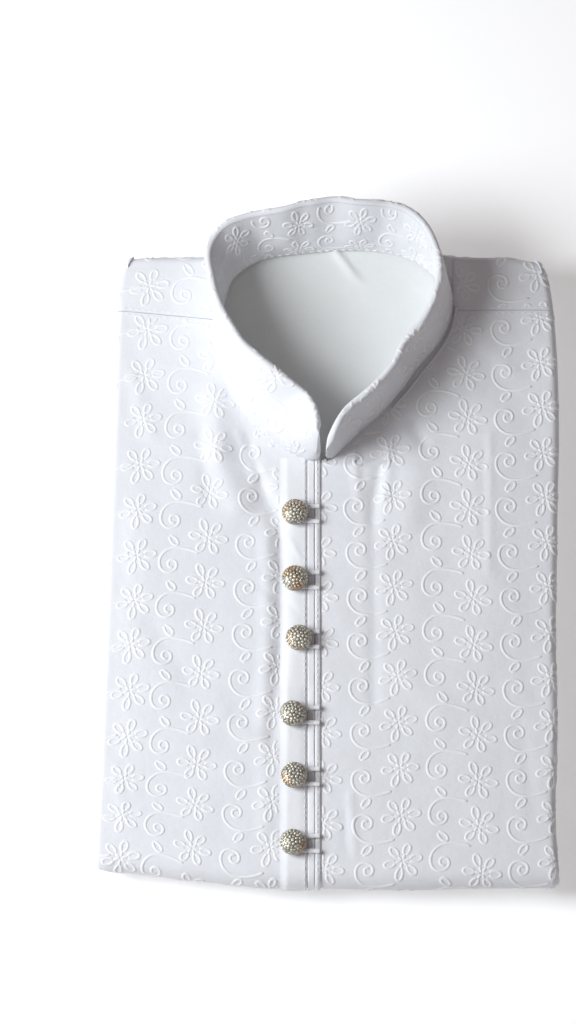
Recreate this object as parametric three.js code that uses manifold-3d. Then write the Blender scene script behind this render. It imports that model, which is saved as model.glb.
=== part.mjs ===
// A man's shalwar kameez folded flat for the shelf: the white embroidered kameez lies front side up
// on its folded shalwar. Millimetres, +Z up. While the pieces are made, x = 0 is near the placket,
// y = 0 is the near fold and y grows towards the collar; the last lines centre the whole on its base.
import * as THREE from 'three';
import { mergeVertices } from 'three/addons/utils/BufferGeometryUtils.js';
import Module from 'manifold-3d';

// Driving dimensions
const BODY_LENGTH = 368;        // near fold to shoulder fold
const CLOTH = 1.6;              // wall of the embroidered front, with its inlay
const GAP = 0.3;                // between pieces at a seam
const SHALWAR_HEIGHT = 8;
const FOLD_THICKNESS = 8.8;     // one arm of the kameez, doubled under itself at the near fold
const FLANGE = 10;              // how far the cloth goes on under a side fold
const UNDERTURN = 12;           // how far the front goes on under the near fold
const STRIP_END = 0.72 * Math.PI; // the placket's strips stop here on the near fold
const NEAR_TAPER = { from: 22, to: 60, turn: 0.7 * Math.PI }; // the side folds open out to the near fold
const CORNER_TURN = 0.93 * Math.PI; // how far the shoulder corners turn under
const YOKE_TAPER = { from: 26, to: 6 }; // the yoke's side flanges end over this far before the fold
const LEAST_FLANGE = 1.2;
const SEAM_LEFT = { neck: 330, side: 335 };
const SEAM_RIGHT = { neck: 335.5, side: 335.5 };
const PLACKET_LINE = -6.2;      // where the right front overlaps the left
const SHOULDER_CORNER = { from: 100, to: 124, drop: 3.5 }; // the shoulder fold rounds off past these x
const NECK_HUMP = { x: 5, y: 372, height: 2.6, width: 70, reach: 45 };
const SHOULDER_BULGE = { x: 5, width: 52, reach: 12 }; // the shoulder fold goes out round the back neck

const COLLAR_HEIGHT = 38;
const COLLAR_HALF = 2.0;        // half the thickness of the band
const COLLAR_PLY = 1.8;
const COLLAR_SINK = 1.2;        // its lower edge lies this far below the cloth around it
const COLLAR_CORNER = 13;       // rounding of the front corners
const COLLAR_STAND = 0.38;      // share of its height over which the band stays upright
const COLLAR_BENDS = 54;        // sections round the neck
const ROLL_DEPTH = 4;           // the outer ply turned down inside the rim

const FACING_SAG = 5;
const FACING_THICKNESS = 1.5;
const FACING_DISH = { front: 26, back: 45, crowding: 1.7 }; // how soon the dish deepens from its ends

const BUTTON = { radius: 7.6, height: 8.6, shank: 2.6, sides: 12 };
const LOOP = { radius: 0.95, halfWidth: 4.4, sides: 6, steps: 14, sewnIn: 0.4, offEdge: 1.2, beforeBow: 3 };
const NECK_END = 1.5;           // the rows below the neck start this far below its lower tip
const MOST_LEAN = 0.9;          // the rim leans out by at most this share of the band's height

// Filling of the upper arm: clear of the flanges and the cloth above, and let into the lower arm;
// and the rolled filling of the near fold.
const FILLING = { clear: 0.8, belowCloth: 1.1, letIn: 0.6, side: 5, near: 24, bevelUp: 1, bevelIn: 1.5 };
const ROLL = { clear: 0.2, share: 0.94, side: 5.2, far: 30 };
const BUNDLE = {
  nearCorner: 5,
  farCorner: 14,
  stops: 12,
  waveAlong: 21,
  waveUp: 1.9,
  waveAcross: 17,
  waveAcrossUp: 2.3,
};

const KAMEEZ_BOTTOM = SHALWAR_HEIGHT + GAP;
const NEAR_RADIUS = FOLD_THICKNESS + GAP / 2;
const NEAR_CENTRE = KAMEEZ_BOTTOM + NEAR_RADIUS;
const TOP = KAMEEZ_BOTTOM + 2 * NEAR_RADIUS;
const SIDE_RADIUS = FOLD_THICKNESS / 2;

// The folded outline: x of each side at y, and how far the near fold lies off the line y = 0 at x.
const LEFT_EDGE = [
  [0, -129.9],
  [120, -125.7],
  [240, -121.5],
  [330, -118.6],
  [350, -117.7],
  [360, -115.6],
  [368, -111.5],
];
const RIGHT_EDGE = [
  [0, 129.3],
  [20, 128.4],
  [41, 127.4],
  [76, 128.6],
  [106, 128.8],
  [145, 128.3],
  [194, 129.3],
  [223, 129.8],
  [262, 130.8],
  [300, 130.3],
  [320, 129.3],
  [335, 128.2],
  [350, 126.2],
  [360, 123.8],
  [368, 120.0],
];
const NEAR_EDGE = [
  [-130, 11.6],
  [-121, 9.4],
  [-110, 8.5],
  [-98, 7.1],
  [-82, 5.0],
  [-70, 3.8],
  [-54, 1.8],
  [-37, 0],
  [-5, 0],
  [12, -0.7],
  [30, -1.2],
  [53, -1.2],
  [75, -0.6],
  [97, -0.2],
  [130, 0],
];
const NEAR_SETTLE = { from: 15, to: 75 }; // the layers follow the near fold this far in

// The collar's stations, from the left front tip round the back to the right one: where the middle
// of the band meets the neck, and how far its rim leans away from there.
const COLLAR_STATIONS = [
  { at: 'left tip', x: -8.5, y: 247.5, leanX: 4.8, leanY: 5.6 },
  { at: 'left front', x: -24.2, y: 255.9, leanX: 16.9, leanY: 12.9 },
  { at: 'left front', x: -37.2, y: 267.0, leanX: 23.2, leanY: 12.2 },
  { at: 'left front', x: -47.8, y: 280.2, leanX: 21.8, leanY: 8.8 },
  { at: 'left front', x: -55.4, y: 295.4, leanX: 17.0, leanY: 2.4 },
  { at: 'left side', x: -60.0, y: 311.0, leanX: 10.8, leanY: -3.6 },
  { at: 'left side', x: -61.4, y: 328.0, leanX: 2.1, leanY: -3.0 },
  { at: 'left side', x: -58.4, y: 343.0, leanX: -5.9, leanY: 0.4 },
  { at: 'left back', x: -55.4, y: 352.6, leanX: -10.4, leanY: 7.1 },
  { at: 'left back', x: -48.6, y: 360.4, leanX: -8.9, leanY: 14.2 },
  { at: 'back', x: -36.5, y: 367.2, leanX: -4.9, leanY: 11.8 },
  { at: 'back', x: -15.0, y: 370.6, leanX: -1.0, leanY: 14.3 },
  { at: 'back', x: 5.6, y: 372.2, leanX: 0.0, leanY: 16.2 },
  { at: 'back', x: 26.0, y: 372.2, leanX: 1.8, leanY: 14.7 },
  { at: 'back', x: 42.5, y: 369.4, leanX: 2.8, leanY: 13.9 },
  { at: 'right back', x: 56.0, y: 363.0, leanX: 0.6, leanY: 7.3 },
  { at: 'right back', x: 65.5, y: 353.0, leanX: -2.9, leanY: 3.3 },
  { at: 'right side', x: 69.5, y: 338.0, leanX: -6.3, leanY: 1.3 },
  { at: 'right side', x: 63.5, y: 319.0, leanX: -8.4, leanY: -0.4 },
  { at: 'right front', x: 51.5, y: 303.6, leanX: -7.9, leanY: 1.2 },
  { at: 'right front', x: 41.0, y: 289.0, leanX: -4.3, leanY: 1.8 },
  { at: 'right front', x: 29.8, y: 275.6, leanX: -3.9, leanY: 2.3 },
  { at: 'right front', x: 15.5, y: 262.5, leanX: -3.3, leanY: 2.9 },
  { at: 'right tip', x: 2.2, y: 249.0, leanX: -1.1, leanY: -2.2 },
];

// The largest folds of the front: ridges (height above 0) and troughs, each along a line.
const FRONT_FOLDS = [
  { fold: 'left chest ridge, upper', x0: -62.7, y0: 284, x1: -60.5, y1: 254, width: 8, height: 2.4 },
  { fold: 'left chest ridge, lower', x0: -60.5, y0: 250, x1: -50, y1: 222, width: 7, height: 1.6 },
  { fold: 'left chest valley', x0: -44, y0: 258, x1: -33, y1: 212, width: 6, height: -0.9 },
  { fold: 'trough by the button stand', x0: -29, y0: 224, x1: -31, y1: 100, width: 5, height: -0.9 },
  { fold: 'right chest valley', x0: 26, y0: 250, x1: 19, y1: 213, width: 7, height: -0.9 },
  { fold: 'right chest ridge', x0: 50, y0: 246, x1: 47, y1: 212, width: 10, height: 1.3 },
  { fold: 'right side swell', x0: 92, y0: 265, x1: 96, y1: 150, width: 16, height: 0.9 },
  { fold: 'left side swell', x0: -104, y0: 210, x1: -100, y1: 90, width: 18, height: 0.8 },
];

// The plain strips of the front opening, from left to right. lift is above the cloth below.
const STAND = { name: 'placket_button_stand', from: -25.4, to: -10.9, lift: GAP, thickness: 1.1 };
const UNDERLAP = { name: 'placket_underlap', from: -10.3, to: -6.6, lift: GAP, thickness: 0.8 };
const EDGE = { name: 'placket_edge', from: -6.1, to: -3.4, lift: GAP, thickness: 1.5 };
const PLACKET_STRIPS = [STAND, UNDERLAP, EDGE];
const PAST_EDGE = 12;           // next stop of the right front's grid past its edge strip

// Centres of the six buttons on the stand.
const BUTTONS = [
  { x: -17.4, y: 214.6 },
  { x: -17.4, y: 175.7 },
  { x: -15.2, y: 141.0 },
  { x: -18.6, y: 96.8 },
  { x: -17.9, y: 60.9 },
  { x: -18.6, y: 22.1 },
];

// Edge profiles of the two hidden bundles: height, and how far the edge lies in from the outline.
const LOWER_LAYERS = [
  { z: 0.0, inset: 4.2 },
  { z: 0.9, inset: 1.6 },
  { z: 2.2, inset: 0.6 },
  { z: 3.4, inset: 1.4 },
  { z: 4.1, inset: 3.8 },
  { z: 4.8, inset: 1.7 },
  { z: 6.3, inset: 0.7 },
  { z: 7.8, inset: 1.9 },
  { z: 8.8, inset: 4.6 },
];
const SHALWAR_LAYERS = [
  { z: 0.0, inset: 2.8 },
  { z: 0.9, inset: 1.1 },
  { z: 1.9, inset: 1.0 },
  { z: 2.6, inset: 3.6 },
  { z: 3.2, inset: 1.2 },
  { z: 4.3, inset: 0.4 },
  { z: 5.0, inset: 1.2 },
  { z: 5.5, inset: 3.2 },
  { z: 6.1, inset: 1.8 },
  { z: 7.1, inset: 1.9 },
  { z: 8.0, inset: 4.4 },
];

// Finishes
const COTTON = { color: 0xeef0f4, roughness: 0.9, metalness: 0 };
const PLAIN_COTTON = { color: 0xf3f3f5, roughness: 0.85, metalness: 0 };
const FACING_CLOTH = { color: 0xecebe8, roughness: 0.8, metalness: 0 };
const ANTIQUE_SILVER = { color: 0xa39c8a, roughness: 0.35, metalness: 0.9 };

const wasm = await Module();
wasm.setup();

const lerp = THREE.MathUtils.lerp;
const clamp = THREE.MathUtils.clamp;
const smoothstep = THREE.MathUtils.smoothstep;

// The folded outline

// A smooth line through stations of [place, value], level beyond its ends.
function through(stations, place) {
  const last = stations.length - 1;
  const slope = (k) => {
    const [before, after] = [stations[Math.max(k - 1, 0)], stations[Math.min(k + 1, last)]];
    return (after[1] - before[1]) / (after[0] - before[0]);
  };
  const at = clamp(place, stations[0][0], stations[last][0]);
  const next = Math.max(stations.findIndex(([start]) => start >= at), 1);
  const [[start, value], [end, nextValue]] = [stations[next - 1], stations[next]];
  const span = end - start;
  const f = (at - start) / span;
  const [f2, f3] = [f * f, f * f * f];
  return value * (2 * f3 - 3 * f2 + 1) + nextValue * (3 * f2 - 2 * f3)
    + span * (slope(next - 1) * (f3 - 2 * f2 + f) + slope(next) * (f3 - f2));
}

function sideEdge(side, y) {
  return through(side < 0 ? LEFT_EDGE : RIGHT_EDGE, y);
}

function farEdge(x) {
  const bulge = SHOULDER_BULGE.reach * Math.exp(-(((x - SHOULDER_BULGE.x) / SHOULDER_BULGE.width) ** 4));
  const corner = smoothstep(Math.abs(x), SHOULDER_CORNER.from, SHOULDER_CORNER.to);
  return BODY_LENGTH + bulge - SHOULDER_CORNER.drop * corner;
}

// The near end of every layer lies a little askew, as its near fold does.
function settled(geometry) {
  const points = geometry.getAttribute('position');
  for (let i = 0; i < points.count; i++) {
    const y = points.getY(i);
    const share = 1 - smoothstep(y, NEAR_SETTLE.from, NEAR_SETTLE.to);
    points.setY(i, y + share * through(NEAR_EDGE, points.getX(i)));
  }
  return geometry;
}

function distanceToLine(x, y, line) {
  const dx = line.x1 - line.x0;
  const dy = line.y1 - line.y0;
  const along = clamp(((x - line.x0) * dx + (y - line.y0) * dy) / (dx * dx + dy * dy), 0, 1);
  return Math.hypot(x - line.x0 - along * dx, y - line.y0 - along * dy);
}

// How far the top cloth stands above the flat stack: its folds, and the rise towards the back neck.
function relief(x, y) {
  let height = 0;
  for (const line of FRONT_FOLDS) {
    height += line.height * Math.exp(-((distanceToLine(x, y, line) / line.width) ** 2));
  }
  const toSide = Math.min(x - sideEdge(-1, y), sideEdge(1, y) - x);
  height *= smoothstep(toSide, 3, 16) * smoothstep(y, NEAR_RADIUS, NEAR_RADIUS + 20);
  const across = Math.exp(-(((x - NECK_HUMP.x) / NECK_HUMP.width) ** 2)) * smoothstep(toSide, 0, 30);
  return height + NECK_HUMP.height * across * smoothstep(y, NECK_HUMP.y - NECK_HUMP.reach, NECK_HUMP.y);
}

// Path of the front from the seam over the near fold and under: a point and its outward direction.
function nearFold(b) {
  if (b >= NEAR_RADIUS) {
    return { y: b, z: TOP, ny: 0, nz: 1 };
  }
  const turn = (NEAR_RADIUS - b) / NEAR_RADIUS;
  if (turn <= Math.PI) {
    const ny = -Math.sin(turn);
    const nz = Math.cos(turn);
    return { y: NEAR_RADIUS * (1 + ny), z: NEAR_CENTRE + NEAR_RADIUS * nz, ny, nz };
  }
  return { y: NEAR_RADIUS * (1 + turn - Math.PI), z: KAMEEZ_BOTTOM, ny: 0, nz: -1 };
}

// A side fold's section at the distance a past its start: how far out, and how far down.
function sideFold(a) {
  const turn = clamp(a / SIDE_RADIUS, 0, Math.PI);
  const beyond = Math.max(a - Math.PI * SIDE_RADIUS, 0);
  return { out: SIDE_RADIUS * Math.sin(turn) - beyond, down: SIDE_RADIUS * (1 - Math.cos(turn)) };
}

// A point of the front cloth: x inside the side fold, or a past it, and b along the near fold's path.
function frontPoint(x, b, lift = 0) {
  const path = nearFold(b);
  const height = relief(x, path.y) * (b >= NEAR_RADIUS ? 1 : 0) + lift;
  return new THREE.Vector3(x, path.y + path.ny * height, path.z + path.nz * height);
}

function sidePoint(side, a, b) {
  const path = nearFold(b);
  const fold = sideFold(a);
  const x = sideEdge(side, path.y) + side * (fold.out - SIDE_RADIUS);
  const height = relief(x, path.y) * (b >= NEAR_RADIUS && a < SIDE_RADIUS ? 1 : 0) - fold.down;
  return new THREE.Vector3(x, path.y + path.ny * height, path.z + path.nz * height);
}

// Closed walls

function gridNormal(grid, i, j) {
  const rows = grid.length - 1;
  const columns = grid[0].length - 1;
  const alongRows = grid[Math.min(i + 1, rows)][j].clone().sub(grid[Math.max(i - 1, 0)][j]);
  const alongColumns = grid[i][Math.min(j + 1, columns)].clone().sub(grid[i][Math.max(j - 1, 0)]);
  return alongRows.cross(alongColumns).normalize();
}

function offsetGrid(grid, distance) {
  const moved = (p, i, j) => p.clone().addScaledVector(gridNormal(grid, i, j), distance);
  return grid.map((row, i) => row.map((p, j) => moved(p, i, j)));
}

// The body between two grids of the same size.
function between(outer, inner) {
  const rows = outer.length;
  const columns = outer[0].length;
  const position = [];
  for (const grid of [outer, inner]) {
    for (const row of grid) {
      for (const point of row) {
        position.push(point.x, point.y, point.z);
      }
    }
  }
  const at = (layer, i, j) => (layer * rows + i) * columns + j;
  const index = [];
  const quad = (a, b, c, d) => index.push(a, b, c, a, c, d);
  for (let i = 0; i + 1 < rows; i++) {
    for (let j = 0; j + 1 < columns; j++) {
      quad(at(0, i, j), at(0, i + 1, j), at(0, i + 1, j + 1), at(0, i, j + 1));
      quad(at(1, i, j), at(1, i, j + 1), at(1, i + 1, j + 1), at(1, i + 1, j));
    }
  }
  for (let j = 0; j + 1 < columns; j++) {
    quad(at(0, 0, j), at(0, 0, j + 1), at(1, 0, j + 1), at(1, 0, j));
    quad(at(0, rows - 1, j + 1), at(0, rows - 1, j), at(1, rows - 1, j), at(1, rows - 1, j + 1));
  }
  for (let i = 0; i + 1 < rows; i++) {
    quad(at(0, i + 1, 0), at(0, i, 0), at(1, i, 0), at(1, i + 1, 0));
    const end = columns - 1;
    quad(at(0, i, end), at(0, i + 1, end), at(1, i + 1, end), at(1, i, end));
  }
  return facingOut(position, index);
}

function facingOut(position, index) {
  let volume = 0;
  const corner = (k) => new THREE.Vector3().fromArray(position, 3 * index[k]);
  for (let k = 0; k < index.length; k += 3) {
    volume += corner(k).dot(corner(k + 1).cross(corner(k + 2)));
  }
  if (volume < 0) {
    index.reverse();
  }
  const geometry = new THREE.BufferGeometry();
  geometry.setAttribute('position', new THREE.Float32BufferAttribute(position, 3));
  geometry.setIndex(index);
  return geometry;
}

function wall(grid, thickness) {
  return between(grid, offsetGrid(grid, -thickness));
}

function steps(count, from, to) {
  return Array.from({ length: count + 1 }, (_, i) => lerp(from, to, i / count));
}

// Collar: a band that follows the stations round the neck

const smoothCurve = (points) => new THREE.CatmullRomCurve3(points);
const baseCurve = smoothCurve(COLLAR_STATIONS.map((s) => new THREE.Vector3(s.x, s.y, 0)));
const leanCurve = smoothCurve(COLLAR_STATIONS.map((s) => new THREE.Vector3(s.leanX, s.leanY, 0)));
const NECK_LENGTH = baseCurve.getLength();
const BACK_X = COLLAR_STATIONS.find((s) => s.leanX === 0).x;

// The neck line moved outwards by a distance, as points from the left tip to the right one.
function neckLine(outwards, count = 140) {
  return steps(count, 0, 1).map((u) => {
    const t = baseCurve.getUtoTmapping(u);
    const base = baseCurve.getPoint(t);
    const along = baseCurve.getTangent(t);
    return new THREE.Vector2(base.x - along.y * outwards, base.y + along.x * outwards);
  });
}

function collarSection(u) {
  const t = baseCurve.getUtoTmapping(u);
  const base = baseCurve.getPoint(t);
  const lean = leanCurve.getPoint(t);
  const fromTip = Math.min(u, 1 - u) * NECK_LENGTH;
  const cut = 1 - Math.min(fromTip / COLLAR_CORNER, 1);
  const height = COLLAR_HEIGHT - COLLAR_CORNER * (1 - Math.sqrt(1 - cut * cut));
  const reach = Math.min(lean.length(), height * MOST_LEAN);
  lean.setLength(reach);
  base.z = TOP + relief(base.x, base.y) - COLLAR_SINK;
  const rise = Math.sqrt(height * height - reach * reach);
  const rim = new THREE.Vector3(base.x + lean.x, base.y + lean.y, base.z + rise);
  const waist = new THREE.Vector3(base.x, base.y, base.z + COLLAR_STAND * height);
  return { height, line: new THREE.QuadraticBezierCurve3(base, waist, rim) };
}

// The band's middle surface, up to a distance below its rim.
function collarMiddle(stations, rows, belowRim = 0) {
  return steps(stations, 0, 1).map((u) => {
    const { height, line } = collarSection(u);
    return steps(rows, 0, 1 - belowRim / height).map((v) => line.getPoint(v));
  });
}

// The outer ply: up the outside, round the rim and a little way down the inside.
function collarOuterGrid(stations) {
  const rows = 5;
  const rimSteps = 4;
  const middle = collarMiddle(stations, rows);
  const outsideOf = offsetGrid(middle, -COLLAR_HALF);
  return middle.map((points, i) => {
    const outside = outsideOf[i];
    const rim = points[rows];
    const normal = gridNormal(middle, i, rows).negate();
    const up = rim.clone().sub(points[rows - 1]).normalize();
    for (let k = 1; k <= rimSteps; k++) {
      const turn = (Math.PI * k) / rimSteps;
      const arc = normal.clone().multiplyScalar(Math.cos(turn)).addScaledVector(up, Math.sin(turn));
      outside.push(rim.clone().addScaledVector(arc, COLLAR_HALF));
    }
    outside.push(outside[outside.length - 1].clone().addScaledVector(up, -ROLL_DEPTH));
    return outside;
  });
}

function collarInnerGrid(stations) {
  return offsetGrid(collarMiddle(stations, 4, ROLL_DEPTH + COLLAR_HALF + GAP), COLLAR_HALF);
}

// Body panels

const panelNeck = neckLine(COLLAR_HALF + GAP);
const backMiddle = panelNeck.findIndex((p) => p.x > BACK_X);

function neckPart(side) {
  return side < 0 ? panelNeck.slice(0, backMiddle) : panelNeck.slice(backMiddle).reverse();
}

// The x of a line of points, rising in y, at the height y.
function crossing(line, y) {
  const next = Math.max(line.findIndex((p) => p.y > y), 1);
  const share = (y - line[next - 1].y) / (line[next].y - line[next - 1].y);
  return lerp(line[next - 1].x, line[next].x, clamp(share, 0, 1));
}

// The x of a front's inner edge at y: the placket line, and above it the neck.
function innerEdge(side, y) {
  const neck = neckPart(side);
  const placket = side < 0 ? PLACKET_LINE - GAP : PLACKET_LINE;
  if (y < neck[0].y) {
    return placket;
  }
  const x = crossing(neck, y);
  return side < 0 ? Math.min(x, placket) : Math.max(x, placket);
}

// Stops round a side fold: it turns right under, but only part of the way on the near fold.
function foldStops(b) {
  const free = smoothstep(b, NEAR_TAPER.from, NEAR_TAPER.to);
  const end = lerp(NEAR_TAPER.turn, Math.PI, free) * SIDE_RADIUS;
  return [...steps(5, 0, end), end + Math.max(FLANGE * free, 0.6)];
}

// Rows from the neck round the near fold to a turn, shared by the fronts and the strips on them.
function rowsBelowNeck(end) {
  const top = Math.min(neckPart(-1)[0].y, neckPart(1)[0].y) - NECK_END;
  return [
    ...steps(13, top, NEAR_RADIUS + 14),
    NEAR_RADIUS + 5,
    ...steps(7, 0, Math.PI).filter((turn) => turn < end + 0.01).map((turn) => NEAR_RADIUS * (1 - turn)),
  ];
}

function frontGrid(side) {
  const seam = side < 0 ? SEAM_LEFT : SEAM_RIGHT;
  const tip = neckPart(side)[0].y;
  const rows = [
    ...steps(10, seam.neck, tip + 0.05),
    ...rowsBelowNeck(Math.PI),
    NEAR_RADIUS * (1 - Math.PI) - UNDERTURN,
  ];
  const strips = side < 0 ? [UNDERLAP, STAND] : [EDGE];
  const farEnd = (strip) => (side < 0 ? strip.from : strip.to);
  const pastStrips = strips.map((strip) => Math.abs(farEnd(strip) - PLACKET_LINE) + GAP);
  const placketStops = [0, ...pastStrips, PAST_EDGE].slice(0, 3);
  return rows.map((row) => {
    const inner = innerEdge(side, row);
    const start = sideEdge(side, row) - side * SIDE_RADIUS;
    const lifted = (x) => {
      const along = clamp((x - inner) / (start - inner), 0, 1);
      return row + (seam.side - seam.neck) * along * smoothstep(row, tip, seam.neck);
    };
    const byPlacket = placketStops.map((d) => inner + side * d);
    const flat = [...byPlacket, ...steps(9, byPlacket[2], start).slice(1, -1)];
    const points = flat.map((x) => frontPoint(x, lifted(x)));
    for (const a of foldStops(row)) {
      points.push(sidePoint(side, a, lifted(start)));
    }
    return side < 0 ? points.reverse() : points;
  });
}

// The back piece over the shoulder fold: u goes out past each side fold, v past the shoulder fold.
function shoulderPoint(x, y) {
  const left = sideEdge(-1, y) + SIDE_RADIUS;
  const right = sideEdge(1, y) - SIDE_RADIUS;
  const far = farEdge(clamp(x, left, right)) - SIDE_RADIUS;
  const u = Math.max(left - x, x - right, 0);
  const v = Math.max(y - far, 0);
  const t = Math.max(u, v);
  const height = relief(clamp(x, left, right), Math.min(y, far));
  if (t === 0) {
    return new THREE.Vector3(x, y, TOP + height);
  }
  const fold = sideFold(t);
  const outX = fold.out * (u / Math.hypot(u, v));
  const outY = fold.out * (v / Math.hypot(u, v));
  const baseX = x < left ? left : Math.min(x, right);
  const fade = 1 - clamp(fold.down / FOLD_THICKNESS, 0, 1);
  return new THREE.Vector3(
    baseX + Math.sign(x - baseX) * outX,
    Math.min(y, far) + outY,
    TOP + height * fade - fold.down,
  );
}

function yokeGrid() {
  const turn = CORNER_TURN * SIDE_RADIUS;
  const leftNeck = panelNeck.findIndex((p) => p.y > SEAM_LEFT.neck + GAP);
  const rightNeck = panelNeck.findLastIndex((p) => p.y > SEAM_RIGHT.neck + GAP);
  const neck = panelNeck.slice(leftNeck, rightNeck + 1).filter((_, i) => i % 2 === 0);
  const seamY = (side, share) => {
    const seam = side < 0 ? SEAM_LEFT : SEAM_RIGHT;
    return lerp(seam.neck, seam.side, share) + GAP;
  };
  const half = (side) => {
    const neckX = (side < 0 ? neck[0] : neck[neck.length - 1]).x;
    const start = sideEdge(side, BODY_LENGTH - 40) - side * SIDE_RADIUS;
    const flat = steps(6, 0, 1).slice(1).map((f) => ({ x: lerp(neckX, start, f), y: seamY(side, f) }));
    const folded = steps(5, 0, turn).slice(1).map((a) => ({ x: start + side * a, y: seamY(side, 1) }));
    folded.push({ x: start + side * (turn + FLANGE), y: seamY(side, 1), flange: true });
    return [...flat, ...folded];
  };
  const lower = [...half(-1).reverse(), ...neck.map((p) => ({ x: p.x, y: p.y })), ...half(1)];
  return lower.map((low) => {
    const start = clamp(low.x, sideEdge(-1, low.y) + SIDE_RADIUS, sideEdge(1, low.y) - SIDE_RADIUS);
    const far = farEdge(start) - SIDE_RADIUS;
    const rise = steps(3, 0, 1).slice(0, -1).map((f) => lerp(low.y, far, f));
    const outside = Math.abs(low.x - start);
    const end = outside > 0 ? turn : Math.PI * SIDE_RADIUS;
    const stops = [...rise, ...steps(5, far, far + end), far + end + (outside > 0 ? 0.3 : FLANGE)];
    return stops.map((y) => {
      const free = 1 - smoothstep(y, far - YOKE_TAPER.from, far - YOKE_TAPER.to);
      const kept = low.flange ? turn + Math.max(FLANGE * free, LEAST_FLANGE) : outside;
      const side = Math.sign(low.x - start);
      const from = side === 0 ? start : sideEdge(side, y) - side * SIDE_RADIUS;
      return shoulderPoint(from + side * kept, y);
    });
  });
}

// Plain strips of the opening, made from the front's points moved out.
function stripGrid(strip) {
  const lift = strip.lift + strip.thickness;
  return rowsBelowNeck(STRIP_END).map((b) => [strip.from, strip.to].map((x) => frontPoint(x, b, lift)));
}

// Facing: a shallow dish in the neck, under the collar's lower edge.
function facingGrid(outwards, drop) {
  const rim = neckLine(outwards);
  const middle = rim.findIndex((p) => p.x > BACK_X);
  const left = rim.slice(0, middle);
  const right = rim.slice(middle).reverse();
  const front = Math.max(left[0].y, right[0].y) + 1;
  const back = Math.min(left[left.length - 1].y, right[right.length - 1].y) - 0.3;
  return steps(12, 0, 1).map((f) => {
    const crowded = 1 - (1 - f) ** FACING_DISH.crowding;
    const y = lerp(front, back, crowded);
    return steps(10, 0, 1).map((g) => {
      const x = lerp(crossing(left, y), crossing(right, y), g);
      const inFromSides = 4 * g * (1 - g);
      const inFromEnds = smoothstep(y, front - 8, front + FACING_DISH.front)
        * (1 - smoothstep(y, back - FACING_DISH.back, back));
      const sag = FACING_SAG * Math.sqrt(inFromSides * inFromEnds);
      return new THREE.Vector3(x, y, TOP + relief(x, y) - COLLAR_SINK - 2 * GAP - sag - drop);
    });
  });
}

// Bundles: rounded slabs with layered edges, lofted through rings

function ring(z, row, limits) {
  const { nearCorner, farCorner, waveAlong, waveUp, waveAcross, waveAcrossUp } = BUNDLE;
  const near = limits.near + row.near;
  const far = limits.far - row.far;
  const wave = (y) => limits.wave * Math.sin(y / waveAlong + z * waveUp);
  const edgeX = (side, y) => sideEdge(side, y) - side * (row.side + limits.wave - wave(y));
  const points = [];
  const arc = (side, end, from) => {
    const corner = end < 0 ? nearCorner : farCorner;
    const cy = end < 0 ? near + corner : far - corner;
    const cx = edgeX(side, cy) - side * corner;
    for (const turn of steps(3, from, from + Math.PI / 2)) {
      points.push(new THREE.Vector3(cx + corner * Math.cos(turn), cy + corner * Math.sin(turn), z));
    }
  };
  const along = steps(BUNDLE.stops, near + nearCorner, far - farCorner).slice(1, -1);
  const cross = (y, from, to) => {
    for (const x of steps(9, from, to).slice(1, -1)) {
      const inwards = limits.wave * (1 - Math.sin(x / waveAcross + z * waveAcrossUp));
      points.push(new THREE.Vector3(x, y === near ? y + inwards : y - inwards, z));
    }
  };
  arc(-1, -1, Math.PI);
  cross(near, edgeX(-1, near) + nearCorner, edgeX(1, near) - nearCorner);
  arc(1, -1, 1.5 * Math.PI);
  along.forEach((y) => points.push(new THREE.Vector3(edgeX(1, y), y, z)));
  arc(1, 1, 0);
  cross(far, edgeX(1, far) - farCorner, edgeX(-1, far) + farCorner);
  arc(-1, 1, 0.5 * Math.PI);
  along.reverse().forEach((y) => points.push(new THREE.Vector3(edgeX(-1, y), y, z)));
  return points;
}

function slab(rows, limits) {
  const rings = rows.map((row) => ring(limits.z + row.z, row, limits));
  const count = rings[0].length;
  const position = [];
  for (const points of rings) {
    points.forEach((p) => position.push(p.x, p.y, p.z));
  }
  const index = [];
  for (let k = 0; k + 1 < rings.length; k++) {
    for (let i = 0; i < count; i++) {
      const a = k * count + i;
      const b = k * count + ((i + 1) % count);
      index.push(a, b, b + count, a, b + count, a + count);
    }
  }
  const centre = (points) => points.reduce((sum, p) => sum.add(p), new THREE.Vector3()).divideScalar(count);
  const low = centre(rings[0]);
  const high = centre(rings[rings.length - 1]);
  position.push(low.x, low.y, low.z, high.x, high.y, high.z);
  const lowAt = rings.length * count;
  const last = (rings.length - 1) * count;
  for (let i = 0; i < count; i++) {
    const next = (i + 1) % count;
    index.push(lowAt, next, i, lowAt + 1, last + i, last + next);
  }
  return facingOut(position, index);
}

const evenly = (rows) => rows.map(({ z, inset }) => ({ z, side: inset, near: inset, far: inset }));

function solidOf(geometry) {
  const mesh = new wasm.Mesh({
    numProp: 3,
    vertProperties: new Float32Array(geometry.getAttribute('position').array),
    triVerts: new Uint32Array(geometry.index.array),
  });
  return new wasm.Manifold(mesh);
}

function geometryOf(solid) {
  const mesh = solid.getMesh();
  const geometry = new THREE.BufferGeometry();
  geometry.setAttribute('position', new THREE.Float32BufferAttribute(mesh.vertProperties, 3));
  geometry.setIndex(Array.from(mesh.triVerts));
  return geometry;
}

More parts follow.
